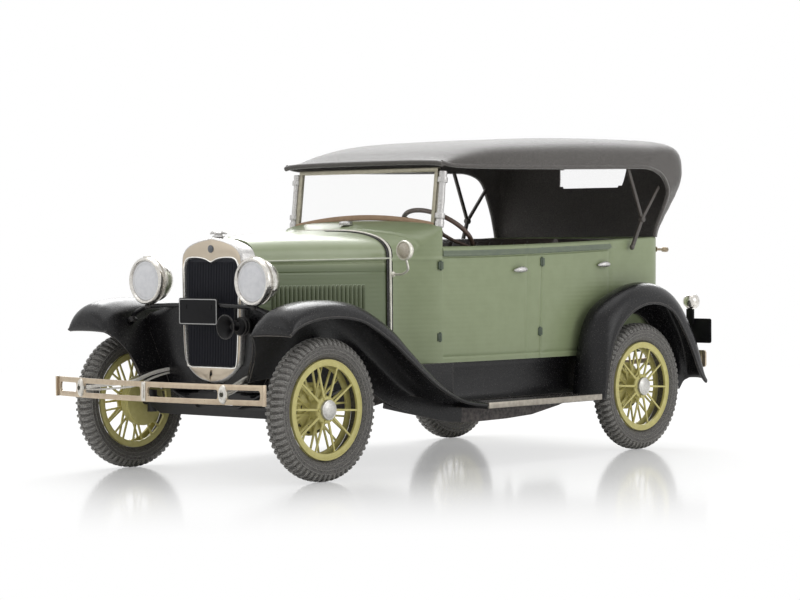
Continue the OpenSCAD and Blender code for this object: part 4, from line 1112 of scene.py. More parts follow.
nickel = finish("shell_nickel", (0.55, 0.475, 0.375), 0.34, metal=0.75, second=(0.50, 0.43, 0.34),
                patch=0.8, blend=0.4, grain=0.002, grain_size=0.06)
rim_silver = finish("rim_silver", (0.88, 0.87, 0.84), 0.22, metal=0.9, second=(0.70, 0.67, 0.62),
                    patch=0.25, blend=0.5, grain=0.003, grain_size=0.06)
core_black = finish("core_black", (0.009, 0.010, 0.016), 0.55, second=(0.015, 0.016, 0.023), patch=0.2,
                    specular=0.3)

SHELL_Y0, SHELL_Y1 = full("radiator_shell")[0].y, full("radiator_shell")[1].y
SHELL_POINTS, FINS, FIN_STEP = 240, 31, 12


def closed_line(half_points, steps):
    """A closed outline from its right half, as points in X and Z from the foot round."""
    half = smooth_line([(x, z, 0) for x, z in half_points], steps)
    return [(p[0], p[1]) for p in half] + [(-p[0], p[1]) for p in half[-2:0:-1]]


def shell_line(inset=0.0):
    """The shell's outline, seen from the front."""
    w, top = SHELL_W / 2 - inset, SHELL_TOP_Z - inset
    low = SHELL_TOP_Z - 755 + inset
    return closed_line([(0, low), (w * 0.42, low + 18), (w * 0.8, low + 74), (w * 0.955, low + 160),
                        (w, SHELL_TOP_Z - 290), (w, SHELL_TOP_Z - 122), (w * 0.93, top - 68),
                        (w * 0.74, top - 37), (w * 0.42, top - 14), (0, top + 2)], 64)


def grille_line(grow=0.0):
    """The outline of the shell's opening, with its two humps."""
    w, low, top = SHELL_W / 2 - 25 + grow, SHELL_TOP_Z - 669 - grow, SHELL_TOP_Z - 106 + grow
    return closed_line([(0, low), (w * 0.45, low), (w * 0.8, low + 1), (w * 0.90, low + 22),
                        (w * 0.955, low + 150), (w, top - 130), (w * 0.99, top - 46),
                        (w * 0.86, top - 6), (w * 0.55, top + 1), (w * 0.24, top - 6),
                        (w * 0.05, top - 20), (0, top - 23)], 64)


def even_steps(run, count):
    """Where count even steps end on a line of running lengths run, as (index, share) pairs."""
    steps, i = [], 0
    for k in range(count + 1):
        want = run[-1] * k / count
        while i < len(run) - 2 and run[i + 1] < want:
            i += 1
        steps.append((i, min(1.0, (want - run[i]) / (run[i + 1] - run[i]))))
    return steps


def ring_rows(line, *stations):
    """Rows of evenly spread points round an outline, from its (inset or growth, y) stations."""
    rows = []
    for change, y in stations:
        ends = line(change)
        ends.append(ends[0])
        run = [0.0]
        for (ax, az), (bx, bz) in zip(ends, ends[1:]):
            run.append(run[-1] + math.hypot(bx - ax, bz - az))
        rows.append([(mix(ends[i][0], ends[i + 1][0], t), y, mix(ends[i][1], ends[i + 1][1], t))
                     for i, t in even_steps(run, SHELL_POINTS)[:-1]])
    return rows


shell_rows = ring_rows(shell_line, (16, SHELL_Y1), (0, SHELL_Y1 - 2), (-1, SHELL_Y0 + 22),
                       (3, SHELL_Y0 + 8), (8, SHELL_Y0 + 2), (11, SHELL_Y0 + 3))
face_rows = (ring_rows(shell_line, (9, SHELL_Y0 + 3), (14, SHELL_Y0))
             + ring_rows(grille_line, (8, SHELL_Y0), (2, SHELL_Y0 + 3)))
rim_rows = ring_rows(grille_line, (8.5, SHELL_Y0 + 2), (7, SHELL_Y0 - 3), (2, SHELL_Y0 - 4),
                     (-1.5, SHELL_Y0 + 1), (-2, SHELL_Y0 + 22))
piece("radiator_shell_band", loft(shell_rows, round_cols=True), silver_paint,
      stands_for=["radiator_shell"], angle=50)
piece("radiator_shell_face", loft(face_rows, round_cols=True), nickel, angle=50)
piece("radiator_shell_rim", loft(rim_rows, round_cols=True), rim_silver, angle=50)
badge_slate = finish("badge_slate", (0.075, 0.085, 0.10), 0.3, second=(0.05, 0.055, 0.07),
                     patch=0.1, coat=0.6)
badge = spun([(0, 0), (20, 0), (20, -4), (17, -6), (0, -7)], (0, SHELL_Y0, 1176), (0, 1, 0), 40)
piece("radiator_badge_bare", badge, badge_slate)
prow = together(
    loft([[(x, SHELL_Y0 + 1, z), (0, SHELL_Y0 - d, z - 2), (-x, SHELL_Y0 + 1, z)]
          for x, z, d in ((96, 552, 6), (84, 530, 14), (52, 506, 18), (20, 490, 16))]),
    tube([(0, SHELL_Y0 - 13, 548), (0, SHELL_Y0 - 21, 522), (0, SHELL_Y0 - 17, 492)], [5, 6, 4]))
piece("radiator_prow", prow, nickel, solid=False)
# The crank hole is a dark disc: painted shade in the hole.
crank_hole = spun([(0, -3), (13, -3), (13, 4), (0, 4)], (0, SHELL_Y0 - 12, 527), (0, 1, 0), 20)
piece("radiator_prow_hole", crank_hole, core_black)
core_plate = [[(x, SHELL_Y0 + depth, z) for x, z in shell_line(15)] for depth in (14, 84)]
tube_fin = box_skin((-3, SHELL_Y0 + 10, 568), (3, SHELL_Y0 + 15, 1108))
fins = copies("radiator_fins", tube_fin, FINS, core_black, step=(FIN_STEP, 0, 0),
              place=(-FIN_STEP * (FINS - 1) / 2, 0, 0), bevel=1)
core_body = piece("radiator_core_body", loft(core_plate, round_cols=True, caps=True), core_black)
joined("radiator_core_tubes", core_body, fins, slot="radiator_black", stands_for=["radiator_core"])

cap_z, cap_y = SHELL_TOP_Z + 2, SHELL_Y0 + 55
cap = together(
    spun([(0, 0), (32, 0), (33, 4), (30, 9), (22, 10), (21, 14), (24, 17), (24, 24), (18, 29), (0, 31)],
         (0, cap_y, cap_z), (0, 0, 1), 32),
    tube([(-52, cap_y - 8, cap_z + 19), (-34, cap_y - 6, cap_z + 26), (-12, cap_y - 2, cap_z + 22),
          (12, cap_y + 2, cap_z + 22), (34, cap_y + 6, cap_z + 26), (52, cap_y + 8, cap_z + 19)],
         [4, 9, 7, 7, 9, 4]))
fuel_z = mix(BAND_TOP_Z, COWL_TOP_Z, 0.7)
fuel = spun([(0, -6), (37, -6), (38, 0), (38, 8), (34, 13), (20, 16), (0, 17)],
            (0, (BONNET_Y1 + 1 + POST_Y) / 2 + 10, fuel_z), (0, 0, 1), 36)
piece("filler_caps_plated", together(cap, fuel), silver_paint,
      stands_for=["filler_caps"])

# ---- windscreen ---------------------------------------------------------------------------
# A thin frame with a curved, brown-beige lower rail and a cream upper one, a clear pane, and two
# stout posts brushed with silver.

RAKE = math.radians(7)
SCREEN_LOW, SCREEN_Z, SCREEN_W = BELT_Z + 100, 1610, 1040
rail_brown = finish("rail_brown", (0.34, 0.225, 0.135), 0.38, metal=0.35, second=(0.24, 0.15, 0.09),
                    patch=0.3, grain=0.004, grain_size=0.05, edge_wear_and_highlight=(0.6, 0.5, 0.38))
rail_cream = finish("rail_cream", (0.46, 0.43, 0.33), 0.36, metal=0.45, second=(0.30, 0.27, 0.20),
                    patch=0.2, grain=0.004, grain_size=0.05)
glass = finish("clear_pane", (0.97, 0.985, 0.98), 0.08, patch=2.0)
glass_surface = next(n for n in glass.node_tree.nodes if n.type == "BSDF_PRINCIPLED")
glass_surface.inputs["Alpha"].default_value = 0.05


def raked(x, depth, height):
    """A place on the windscreen, from its foot, with its lean."""
    return Vector((x, POST_Y + 14 + depth * math.cos(RAKE) + height * math.sin(RAKE),
                   SCREEN_LOW + height * math.cos(RAKE) - depth * math.sin(RAKE)))


def screen_foot(x, half):
    """Height of the windscreen's lower edge, which follows the cowl."""
    return (COWL_TOP_Z - SCREEN_LOW + 4) * (1 - (x / half) ** 2)


half, bar, tall = SCREEN_W / 2, 24, SCREEN_Z - SCREEN_LOW
sweep = [-half + 2 * half * k / 48 for k in range(49)]
lower = loft([[raked(x, d, screen_foot(x, half) + h) for d, h in
               ((-11, 0), (-13, 8), (-12, 24), (-8, 29), (8, 29), (12, 24), (11, 0))] for x in sweep],
             round_cols=True, caps=True)
piece("screen_rail_lower", lower, rail_brown, stands_for=["windscreen_frame"])
upper = loft([[raked(x, d, h) for d, h in ((-10, tall - bar), (-12, tall - 18), (-12, tall - 4),
                                           (-8, tall), (8, tall), (12, tall - 4), (10, tall - bar))]
              for x in (-half, -half * 0.5, 0, half * 0.5, half)], round_cols=True, caps=True)
piece("screen_rail_upper", upper, rail_cream, bevel=1.5)
sides = [loft([[raked(s * (half - o), d, h) for o, d in ((0, -10), (0, 10), (bar, 10), (bar, -10))]
               for h in (2, tall - 2)], round_cols=True, caps=True) for s in (-1, 1)]
piece("screen_sides", together(*sides), rail_cream, bevel=2)

pane_half = half - bar - 1
pane_rows = [[raked(x, d, mix(screen_foot(x, half) + 26, tall - bar - 1, t)) for x in
              [-pane_half + 2 * pane_half * k / 24 for k in range(25)]] for d, t in
             ((-3, 0), (-3, 1), (3, 1), (3, 0))]
piece("windscreen_pane", loft(pane_rows, round_rows=True), glass,
      stands_for=["windscreen_glass"])

POST_OUT = half + 27
post = ((6, 24), (30, 26), (44, 21), (70, 18), (150, 19), (230, 18), (275, 20), (300, 23), (309, 21))
posts = [tube([raked(s * POST_OUT, 4 + 1.2 * math.sin(h / 19), h) for h, r in post],
              [r for h, r in post], 18) for s in (-1, 1)]
clamps = [spun([(0, -14), (27, -14), (28, -8), (28, 8), (27, 14), (0, 14)], raked(s * POST_OUT, 4, h),
               raked(0, 0, 1) - raked(0, 0, 0), 20) for s in (-1, 1) for h in (66, 262)]
piece("windscreen_posts_cast", together(*posts, *clamps), silver_paint,
      stands_for=["windscreen_posts"])

# ---- cloth top ----------------------------------------------------------------------------
# The raised top is moulded to look like rubbered cloth over bows: it sags a little between the
# bows, has a rolled front edge and a bound lower edge, and is black inside.

# Pale painted highlights run along the top's edges, and small pale speckles are painted glints.
cloth = finish("top_cloth", (0.050, 0.045, 0.041), 0.62, second=(0.115, 0.105, 0.096), patch=0.07,
               blend=0.90, grain=0.055, grain_size=0.055, edge_wear_and_highlight=(0.30, 0.28, 0.26), edge_band=0.05,
               edge_band_share=0.9, sheen=0.9, sheen_rough=0.35, specular=0.5, glint_flecks=0.25)
HEADER_Y, HEADER_Z, TOP_Z, TOP_T = POST_Y + 20, SCREEN_Z + 6, 1826, 20
BOW_SHARES = (0.16, 0.33, 0.50, 0.655)


def pairs_behind(y0, *rows):
    """Pairs of a place on the middle line and the place on the hem that it runs to, in Y and Z."""
    return [((y0 + crown_y, TOP_Z - crown), (y0 + hem_y, TOP_Z - hem))
            for crown_y, crown, hem_y, hem in rows]


PAIRS = (pairs_behind(HEADER_Y, (-22, 176, -22, 192), (42, 150, 42, 206), (160, 110, 152, 212),
                      (368, 70, 358, 213), (634, 47, 618, 211), (1046, 29, 1008, 206))
         + pairs_behind(REAR_Y, (-54, 19, -154, 199), (217, 18, 57, 195), (352, 24, 140, 198),
                        (456, 42, 212, 213), (518, 80, 270, 238), (538, 140, 310, 277),
                        (532, 212, 332, 324), (510, 296, 338, 381), (455, 418, 332, 456),
                        (400, 536, 320, 536))
         + [((TAIL_Y + 2, BELT_Z + BELT_RISE - 6), (REAR_Y + 318, BELT_Z + 44))])
TOP_ROWS, TOP_COLS = 144, 30
middle_line = smooth_line([(0, y, z) for (y, z), hem in PAIRS], TOP_ROWS)
hem_line = smooth_line([(0, y, z) for middle, (y, z) in PAIRS], TOP_ROWS)


def top_grid(inset):
    """Points of the top's skin, inset from its outer face, from one side to the other."""
    grid = []
    for i, (middle, hem) in enumerate(zip(middle_line, hem_line)):
        s = i / TOP_ROWS
        half_w = mix(mix(590, 706, ramp(s / 0.5)), BODY_W / 2 - 22, ramp((s - 0.74) / 0.26)) - inset
        square = mix(2.6, 4.2, ramp(s / 0.25)) + 2.6 * ramp((s - 0.46) / 0.14) * (1 - ramp((s - 0.80) / 0.15))
        near_bow = min(abs(s - b) for b in BOW_SHARES)
        sag = 0.0 if s > 0.68 or s < 0.03 else 3 * ramp(near_bow / 0.08)
        crown = middle - up_from(middle_line, i) * (inset + sag)
        bend = smooth_line([(math.sin(a) ** (2 / square), math.cos(a) ** (2 / square), 0) for a in
                            (math.radians(90 * k / 12) for k in range(13))], 240)
        run = [0.0]
        for p, q in zip(bend, bend[1:]):
            drop = (crown - hem).length * (q.y - p.y)
            run.append(run[-1] + math.hypot(half_w * (q.x - p.x), drop))
        half = []
        for j, t in even_steps(run, TOP_COLS):
            x, h = mix(bend[j].x, bend[j + 1].x, t), mix(bend[j].y, bend[j + 1].y, t)
            half.append(hem + (crown - hem) * h + Vector((half_w * x, 0, 0)))
        grid.append([Vector((-q.x, q.y, q.z)) for q in reversed(half[1:])] + half)
    return grid


outer_grid, inner_grid = top_grid(0), top_grid(TOP_T)
WINDOW_HALF, WINDOW_LOW, WINDOW_HIGH = 236, TOP_Z - 312, TOP_Z - 176
back = [i for i, p in enumerate(middle_line) if i > TOP_ROWS * 0.6]
window_top = min(back, key=lambda i: abs(middle_line[i].z - WINDOW_HIGH))
window_foot = min(back, key=lambda i: abs(middle_line[i].z - WINDOW_LOW))
window_reach = min(range(TOP_COLS),
                   key=lambda c: abs(outer_grid[window_foot][TOP_COLS + c].x - WINDOW_HALF))

cloth_points = [p for grid in (outer_grid, inner_grid) for row in grid for p in row]
cols = len(outer_grid[0])
offset = len(outer_grid) * cols
cloth_faces = []
for r in range(TOP_ROWS):
    for c in range(cols - 1):
        a = r * cols + c
        across = min(c - TOP_COLS + window_reach, TOP_COLS + window_reach - 1 - c)
        along = min(r - window_top, window_foot - 1 - r)
        if across < 0 or along < 0 or across + along == 0:
            cloth_faces.append((a + cols, a + cols + 1, a + 1, a))
edge_use = {(a, b) for face in cloth_faces for a, b in zip(face, face[1:] + face[:1])}
border = sorted((a, b) for a, b in edge_use if (b, a) not in edge_use)
cloth_faces += [tuple(i + offset for i in reversed(face)) for face in cloth_faces]
cloth_faces += [(b, a, a + offset, b + offset) for a, b in border]
top = piece("top_skin", ([tuple(p) for p in cloth_points], cloth_faces), cloth, angle=50)
edges = [[row[c] for row in outer_grid[1:]] for c in (0, cols - 1)]
binding = [tube([p - Vector((math.copysign(8, p.x), 0, 0)) for p in line[::2]], 12, 8) for line in edges]
header = tube([outer_grid[0][c] + Vector((0, 4, -12)) for c in range(0, cols, 2)], 14, 12)
bound = piece("top_binding", together(*binding, header), cloth)
joined("soft_top_moulding", top, bound, slot="top_cloth", stands_for=["soft_top"])
pane = [[Vector((x, y, z)) for x in (-WINDOW_HALF - 14, WINDOW_HALF + 14)] for y, z in
        ((1782, 1510), (1812, 1650), (1807, 1650), (1777, 1510))]
piece("rear_window_pane", loft(pane, round_rows=True), glass,
      stands_for=["rear_window"])

# ---- irons and rests of the top -----------------------------------------------------------
# Thin dark irons carry the top's rear bow on each side, from a foot on the belt to a pivot and out
# in a fork. Two short rests stand out behind for the folded top.

iron_paint = finish("iron_brown", (0.060, 0.052, 0.046), 0.45, second=(0.11, 0.095, 0.085),
                    patch=0.15, grain=0.006, grain_size=0.05, edge_wear_and_highlight=(0.30, 0.26, 0.22))


def flat_bar(a, b, width, thick):
    """A flat iron from a to b that lies in the side's plane."""
    a, b = Vector(a), Vector(b)
    along = (b - a).normalized()
    broad = along.cross(Vector((1, 0, 0))).normalized() * width / 2
    deep = Vector((thick / 2, 0, 0))
    return loft([[p - broad - deep, p + broad - deep, p + broad + deep, p - broad + deep]
                 for p in (a, b)], round_cols=True, caps=True)


pivot = Vector((BODY_W / 2 + 30, REAR_Y + 118, BELT_Z + 150))
iron_foot = Vector((BODY_W / 2 + 17, REAR_Y + 42, BELT_Z - 14))
fork_front = Vector((BODY_W / 2 + 26, REAR_Y - 10, HEADER_Z + 10))
fork_rear = Vector((BODY_W / 2 + 26, REAR_Y + 286, BELT_Z + 340))
irons = together(flat_bar(iron_foot, pivot, 24, 15), flat_bar(pivot, fork_front, 22, 14),
                 flat_bar(pivot, fork_rear, 20, 14),
                 spun([(0, -15), (17, -15), (19, -11), (19, 11), (17, 15), (0, 15)], pivot, (1, 0, 0), 20),
                 spun([(0, -9), (15, -9), (16, 0), (12, 9), (0, 10)], iron_foot, (1, 0, 0), 16))
piece("top_irons_flat", both(irons), iron_paint,
      stands_for=["top_irons"], bevel=2.5)
rest_x, rest_z = BODY_W / 2 - 70, BELT_Z - 25
rest = together(tube([(rest_x, TAIL_Y - 34, rest_z), (rest_x, TAIL_Y + 30, rest_z - 3),
                      (rest_x, TAIL_Y + 80, rest_z - 4)], [9, 8, 8], 12),
                spun([(0, -6), (17, -6), (18, 0), (12, 5), (0, 6)],
                     (rest_x, TAIL_Y + 4, rest_z - 2), (0, 1, 0), 16),
                tube([(rest_x, TAIL_Y + 70, rest_z - 4), (rest_x, TAIL_Y + 80, rest_z - 4),
                      (rest_x, TAIL_Y + 114, rest_z - 5), (rest_x, TAIL_Y + 122, rest_z - 5)],
                     [9, 15, 16, 11], 12))
brass = finish("rest_brass", (0.30, 0.24, 0.16), 0.4, metal=0.6, second=(0.16, 0.13, 0.09),
               patch=0.12, edge_wear_and_highlight=(0.6, 0.52, 0.38))
piece("top_rests_capped", both(rest), brass,
      stands_for=["top_rests"])

# ---- seats --------------------------------------------------------------------------------
# Two benches moulded as dark leather cushions and backs with upright sewn channels. The fronts
# are plain valances on the floor.

leather = finish("seat_leather", (0.034, 0.026, 0.023), 0.46, second=(0.058, 0.044, 0.037),
                 patch=0.35, blend=0.7, grain=0.012, grain_size=0.045, edge_wear_and_highlight=(0.13, 0.10, 0.085))


def cushion(half_w, deep, tall, channels, across=144, along=26):
    """A crowned cushion round the origin, with sewn channels over its top."""
    rows = []
    for j in range(along + 1):
        v = -1 + 2 * j / along
        row = []
        for i in range(across + 1):
            u = -1 + 2 * i / across
            crown = (1 - abs(u) ** 6) ** 0.5 * (1 - abs(v) ** 4) ** 0.5
            pull = 1 - 0.025 * math.sin(math.pi * (u + 1) / 2) * (1 - crown)
            seam = abs(math.sin(math.pi * channels * (u + 1) / 2))
            puff = 0.72 + 0.28 * min(1.0, seam * 2.2) ** 0.6
            row.append(Vector((u * half_w, v * deep / 2 * pull, tall * crown * puff)))
        rows.append(row)
    skin = loft([list(reversed(row)) for row in rows])
    rim = ([row[0] for row in rows] + rows[-1][1:] + [row[-1] for row in reversed(rows[:-1])]
           + list(reversed(rows[0][1:-1])))
    foot = [Vector((q.x * 0.985, q.y * 0.97, -tall * 0.9)) for q in rim]
    belly = [Vector((q.x * 1.004, q.y * 1.01, -tall * 0.35)) for q in rim]
    wall = loft([rim, belly, foot], round_cols=True)
    sole = ([tuple(q) for q in foot], [tuple(range(len(foot)))])
    return together(skin, wall, sole)


def turned_part(part, turn, place):
    """A skin turned about X by turn degrees and moved to its place."""
    spin = Matrix.Rotation(math.radians(turn), 3, "X")
    return [tuple(spin @ Vector(p) + Vector(place)) for p in part[0]], part[1]


for name, node, deep, channels in (("front", "front_seat", 400, 12), ("rear", "rear_seat", 420, 14)):
    low, high = full(node)
    half_w = (high.x - low.x) / 2
    seat_top = low.z + 250
    base = box_skin((low.x + 10, low.y + 24, low.z), (high.x - 10, low.y + deep, seat_top - 96))
    seat = piece(name + "_cushion", turned_part(cushion(half_w - 4, deep, 62, channels), 4,
                                                (0, low.y + deep / 2 + 8, seat_top - 62)), leather)
    back_tall = high.z - seat_top + 18
    back = piece(name + "_back", turned_part(cushion(half_w - 6, back_tall, 52, channels), 97 - 14,
                                             (0, high.y - 66, seat_top + back_tall / 2 - 20)), leather)
    footing = piece(name + "_base", base, leather, bevel=12, segments=3)
    rail = piece(name + "_rail", tube([(x, high.y - 40, high.z - 26) for x in
                                       (low.x + 24, low.x + 60, 0, high.x - 60, high.x - 24)],
                                      [14, 24, 26, 24, 14], 16), leather)
    joined(name + "_seat_bench", seat, back, footing, rail, slot="seat_leather", stands_for=[node])

# ---- steering wheel -----------------------------------------------------------------------
# A brown moulded wheel with four thin spokes stands on a sloping column at the car's left. The
# column and the two levers are castings, and are finished with the chassis.

wheel_brown = finish("steering_brown", (0.115, 0.070, 0.050), 0.36, second=(0.075, 0.047, 0.036),
                     patch=0.25, grain=0.004, grain_size=0.05, edge_wear_and_highlight=(0.28, 0.2, 0.16))
wheel_middle = Vector((320, POST_Y + 266, BELT_Z + 78))
STEER_R = 205


def round_line(radius, height, thick, sides):
    """The profile of a ring of round section, for spun."""
    return [(radius + thick * math.cos(a), height + thick * math.sin(a))
            for a in (2 * math.pi * k / sides for k in range(sides + 1))]


def at_steering(part):
    """Puts a skin drawn flat round the origin into the steering wheel's plane."""
    return turned_part(part, -36, wheel_middle)


rim_part = spun(round_line(STEER_R, 0, 13, 14), (0, 0, 0), (0, 0, 1), 64)
hub_part = spun([(0, -18), (26, -18), (34, -8), (34, 6), (26, 14), (12, 18), (0, 19)],
                (0, 0, 0), (0, 0, 1), 32)
arms = []
for k in range(4):
    a = math.radians(90 * k + 45)
    d = Vector((math.cos(a), math.sin(a), 0))
    arms.append(tube([d * 20, d * 100 + Vector((0, 0, -7)), d * (STEER_R - 6)], [12, 9, 8], 10))
piece("steering_wheel_moulded", together(at_steering(rim_part), at_steering(hub_part),
                                         *[at_steering(a) for a in arms]), wheel_brown,
      stands_for=["steering_wheel"])

# ---- headlamps and horn -------------------------------------------------------------------
# Two plated bowls with thick bezels and pale moulded lenses stand on a black bar bowed between
# the fenders. The horn hangs under the bar on the left.

# Near-white painted highlights run along the plating's edges.
lamp_chrome = finish("lamp_chrome", (0.72, 0.70, 0.66), 0.20, metal=0.92, second=(0.50, 0.47, 0.43),
                     patch=0.16, blend=0.6, grain=0.010, grain_size=0.09, edge_wear_and_highlight=(0.95, 0.94, 0.9),
                     edge_band=0.05)
lens_look = finish("lamp_lens", (0.78, 0.785, 0.81), 0.20, second=(0.66, 0.67, 0.70), patch=0.30,
                   blend=0.6, grain=0.005, grain_size=0.12, coat=0.5)
LAMP_X, LAMP_R = 398, 123
LAMP_Y, LAMP_Z = FRONT_Y - 165, AXLE_Z + ARCH_R + 180
BAR_Y, BAR_Z = LAMP_Y + 14, LAMP_Z - LAMP_R + 14
lamp_middle = Vector((LAMP_X, LAMP_Y, LAMP_Z))

bowl = spun([(0, 4), (LAMP_R - 23, 4), (LAMP_R - 22, -6), (LAMP_R - 15, -15), (LAMP_R - 6, -16),
             (LAMP_R, -10), (LAMP_R + 1, -2), (LAMP_R, 10), (LAMP_R - 4, 14), (LAMP_R - 5, 22)]
            + [((LAMP_R - 6) * math.cos(math.radians(a)), 20 + 134 * math.sin(math.radians(a)))
               for a in range(8, 91, 6)], lamp_middle, (0, 1, 0), 64)
bead = spun(round_line(LAMP_R - 4, 30, 4, 8), lamp_middle, (0, 1, 0), 64)
catch = together(box_skin(lamp_middle + Vector((-9, -14, LAMP_R - 6)),
                          lamp_middle + Vector((9, 26, LAMP_R + 6))),
                 spun([(0, -8), (11, -8), (14, 0), (8, 8), (0, 9)],
                      lamp_middle + Vector((LAMP_R * 0.92, 44, -40)), (1, 0, -0.4), 14))
lamp = together(bowl, bead, catch)
piece("headlamp_bowls", both(lamp), lamp_chrome,
      stands_for=["headlamp_shells"])


def lens_profile(radius):
    """A shallow domed lens with a line moulded near its rim."""
    line = []
    for k in range(29):
        r = radius * (1 - k / 28)
        h = -4 - 13 * (1 - (r / radius) ** 2)
        h += 2.5 * dent(r - radius * 0.90, 6, 1)
        line.append((r, h))
    return [(0, 2), (radius, 2)] + line


lens = spun(lens_profile(LAMP_R - 20), lamp_middle, (0, 1, 0), 64)
piece("headlamp_lenses_moulded", both(lens), lens_look,
      stands_for=["headlamp_lenses"])

bar_half = [(0, BAR_Z - 13), (LAMP_X - 130, BAR_Z - 19), (LAMP_X, BAR_Z - 26), (LAMP_X + 70, BAR_Z - 47),
            (LAMP_X + 110, BAR_Z - 68), (LAMP_X + 128, BAR_Z - 92)]
bar_line = [(x, BAR_Y, z) for x, z in bar_half]
bar_path = smooth_line([(-x, y, z) for x, y, z in reversed(bar_line[1:])] + bar_line, 60)
stalks = [spun([(0, -20), (24, -20), (26, -12), (19, -4), (17, 6), (22, 14), (0, 16)],
               (s * LAMP_X, BAR_Y, BAR_Z - 14), (0, 0, 1), 24) for s in (-1, 1)]
feet = [spun([(0, -12), (24, -12), (26, 0), (20, 10), (0, 12)], (s * (LAMP_X + 128), BAR_Y, BAR_Z - 94),
             (0, 0, 1), 20) for s in (-1, 1)]
piece("headlamp_bar_bowed", together(tube(bar_path, 11.5, 16), *stalks, *feet), fender_black,
      stands_for=["headlamp_bar"])

mouth = Vector((252, BAR_Y - 54, BAR_Z - 122))
trumpet = spun([(0, 150), (28, 147), (40, 138), (44, 124), (44, 82), (40, 74), (24, 66), (21, 44),
                (28, 22), (42, 4), (58, -8), (63, -11), (64, -15), (60, -17), (54, -13), (38, 2),
                (24, 20), (14, 34), (0, 36)], mouth, (0, 1, 0), 48)
motor_rings = [spun(round_line(46, h, 3, 8), mouth, (0, 1, 0), 40) for h in (92, 114)]
hanger = tube([mouth + Vector((0, 58, 30)), mouth + Vector((0, 62, 70)),
               Vector((mouth.x, BAR_Y + 6, BAR_Z - 30))], 9, 10)
horn_black = finish("horn_black", (0.0055, 0.0055, 0.0065), 0.42, second=(0.012, 0.011, 0.011), patch=0.2,
                    grain=0.006, grain_size=0.05, edge_wear_and_highlight=(0.42, 0.40, 0.38), edge_band=0.05,
                    edge_band_share=1.0, specular=0.2)
piece("horn_trumpet", together(trumpet, *motor_rings, hanger), horn_black,
      stands_for=["horn"])

# ---- number plates and tail lamp ----------------------------------------------------------
# Bare black plates with a pale raised border. The rear one hangs from the left fender, under a
# small plated lamp with a red lens.

plate_black = finish("plate_black", (0.0055, 0.0055, 0.0065), 0.5, second=(0.010, 0.010, 0.011),
                     patch=0.3, grain=0.004, grain_size=0.05, specular=0.15)
plate_white = finish("plate_border", (0.52, 0.52, 0.51), 0.4, second=(0.34, 0.34, 0.34), patch=0.06,
                     blend=0.8)


def rounded(width, height, corner, steps=6):
    """A rounded rectangle round the origin, as points in X and Z."""
    outline = []
    for cx, cz, start in ((1, 1, 0), (-1, 1, 90), (-1, -1, 180), (1, -1, 270)):
        for k in range(steps + 1):
            a = math.radians(start + 90 * k / steps)
            outline.append((cx * (width / 2 - corner) + corner * math.cos(a),
                            cz * (height / 2 - corner) + corner * math.sin(a)))
    return outline


def plate_skins(width, height, middle, front):
    """A plate with its raised border; front is -1 where it faces forwards and 1 to the rear."""
    def rows(stations):
        return [[(middle.x + x, middle.y + front * y, middle.z + z) for x, z in rounded(w, h, r)]
                for w, h, r, y in stations]
    base = loft(rows([(width, height, 12, -4), (width, height, 12, 3), (width - 6, height - 6, 10, 4)]),
                round_cols=True, caps=True)
    border = loft(rows([(width - 9, height - 9, 10, 3), (width - 9, height - 9, 10, 6),
                        (width - 18, height - 18, 7, 6), (width - 18, height - 18, 7, 3)]), round_cols=True)
    return base, border


low, high = full("front_number_plate")
middle = (low + high) / 2 + Vector((0, 0, 8))
base, border = plate_skins(high.x - low.x + 6, high.z - low.z + 16, middle, -1)
clips = [box_skin((x - 8, middle.y - 6, BAR_Z - 34), (x + 8, BAR_Y - 2, BAR_Z - 12)) for x in (-92, 92)]
piece("front_plate_bare", together(base, *clips), plate_black,
      stands_for=["front_number_plate"])
piece("front_plate_border", border, plate_white)

low, high = full("rear_number_plate")
rear_middle = Vector(((low.x + high.x) / 2, high.y - 4, (low.z + high.z) / 2 - 24))
base, border = plate_skins(high.x - low.x, 145, rear_middle, 1)
strap = [[rear_middle + Vector((x, -y, z)) for x, y in ((-24, 22), (24, 22), (24, 6), (-24, 6))]
         for z in (40, 128)]
stay = tube([rear_middle + Vector(p) for p in ((0, -14, 20), (-14, -60, 22), (-40, -118, 20))], 12, 12)
bracket = together(loft(strap, round_cols=True, caps=True), stay)
piece("rear_plate_bare", together(base, bracket), plate_black,
      stands_for=["rear_number_plate"], bevel=0.8)
piece("rear_plate_border", border, plate_white)

low, high = full("tail_lamp")
tail_middle = (low + high) / 2
tail_bowl = spun([(0, -42), (22, -40), (36, -30), (45, -14), (47, 8), (47, 24), (44, 28), (39, 28),
                  (39, 22), (0, 22)], tail_middle, (0, 1, 0), 40)
piece("tail_lamp_bowl", tail_bowl, lamp_chrome, stands_for=["tail_lamp"])
red_lens = finish("red_lens", (0.28, 0.010, 0.012), 0.15, second=(0.18, 0.006, 0.008), patch=0.1,
                  coat=0.6)
piece("tail_lamp_lens", spun([(0, 20), (38, 20), (36, 28), (24, 34), (0, 37)], tail_middle,
                             (0, 1, 0), 40), red_lens)

# ---- cowl lamps ---------------------------------------------------------------------------
# A small silver lamp stands on a thin bent arm at each end of the cowl band. Its bowl is one
# turned shape, with a small boss where the arm meets the cowl.

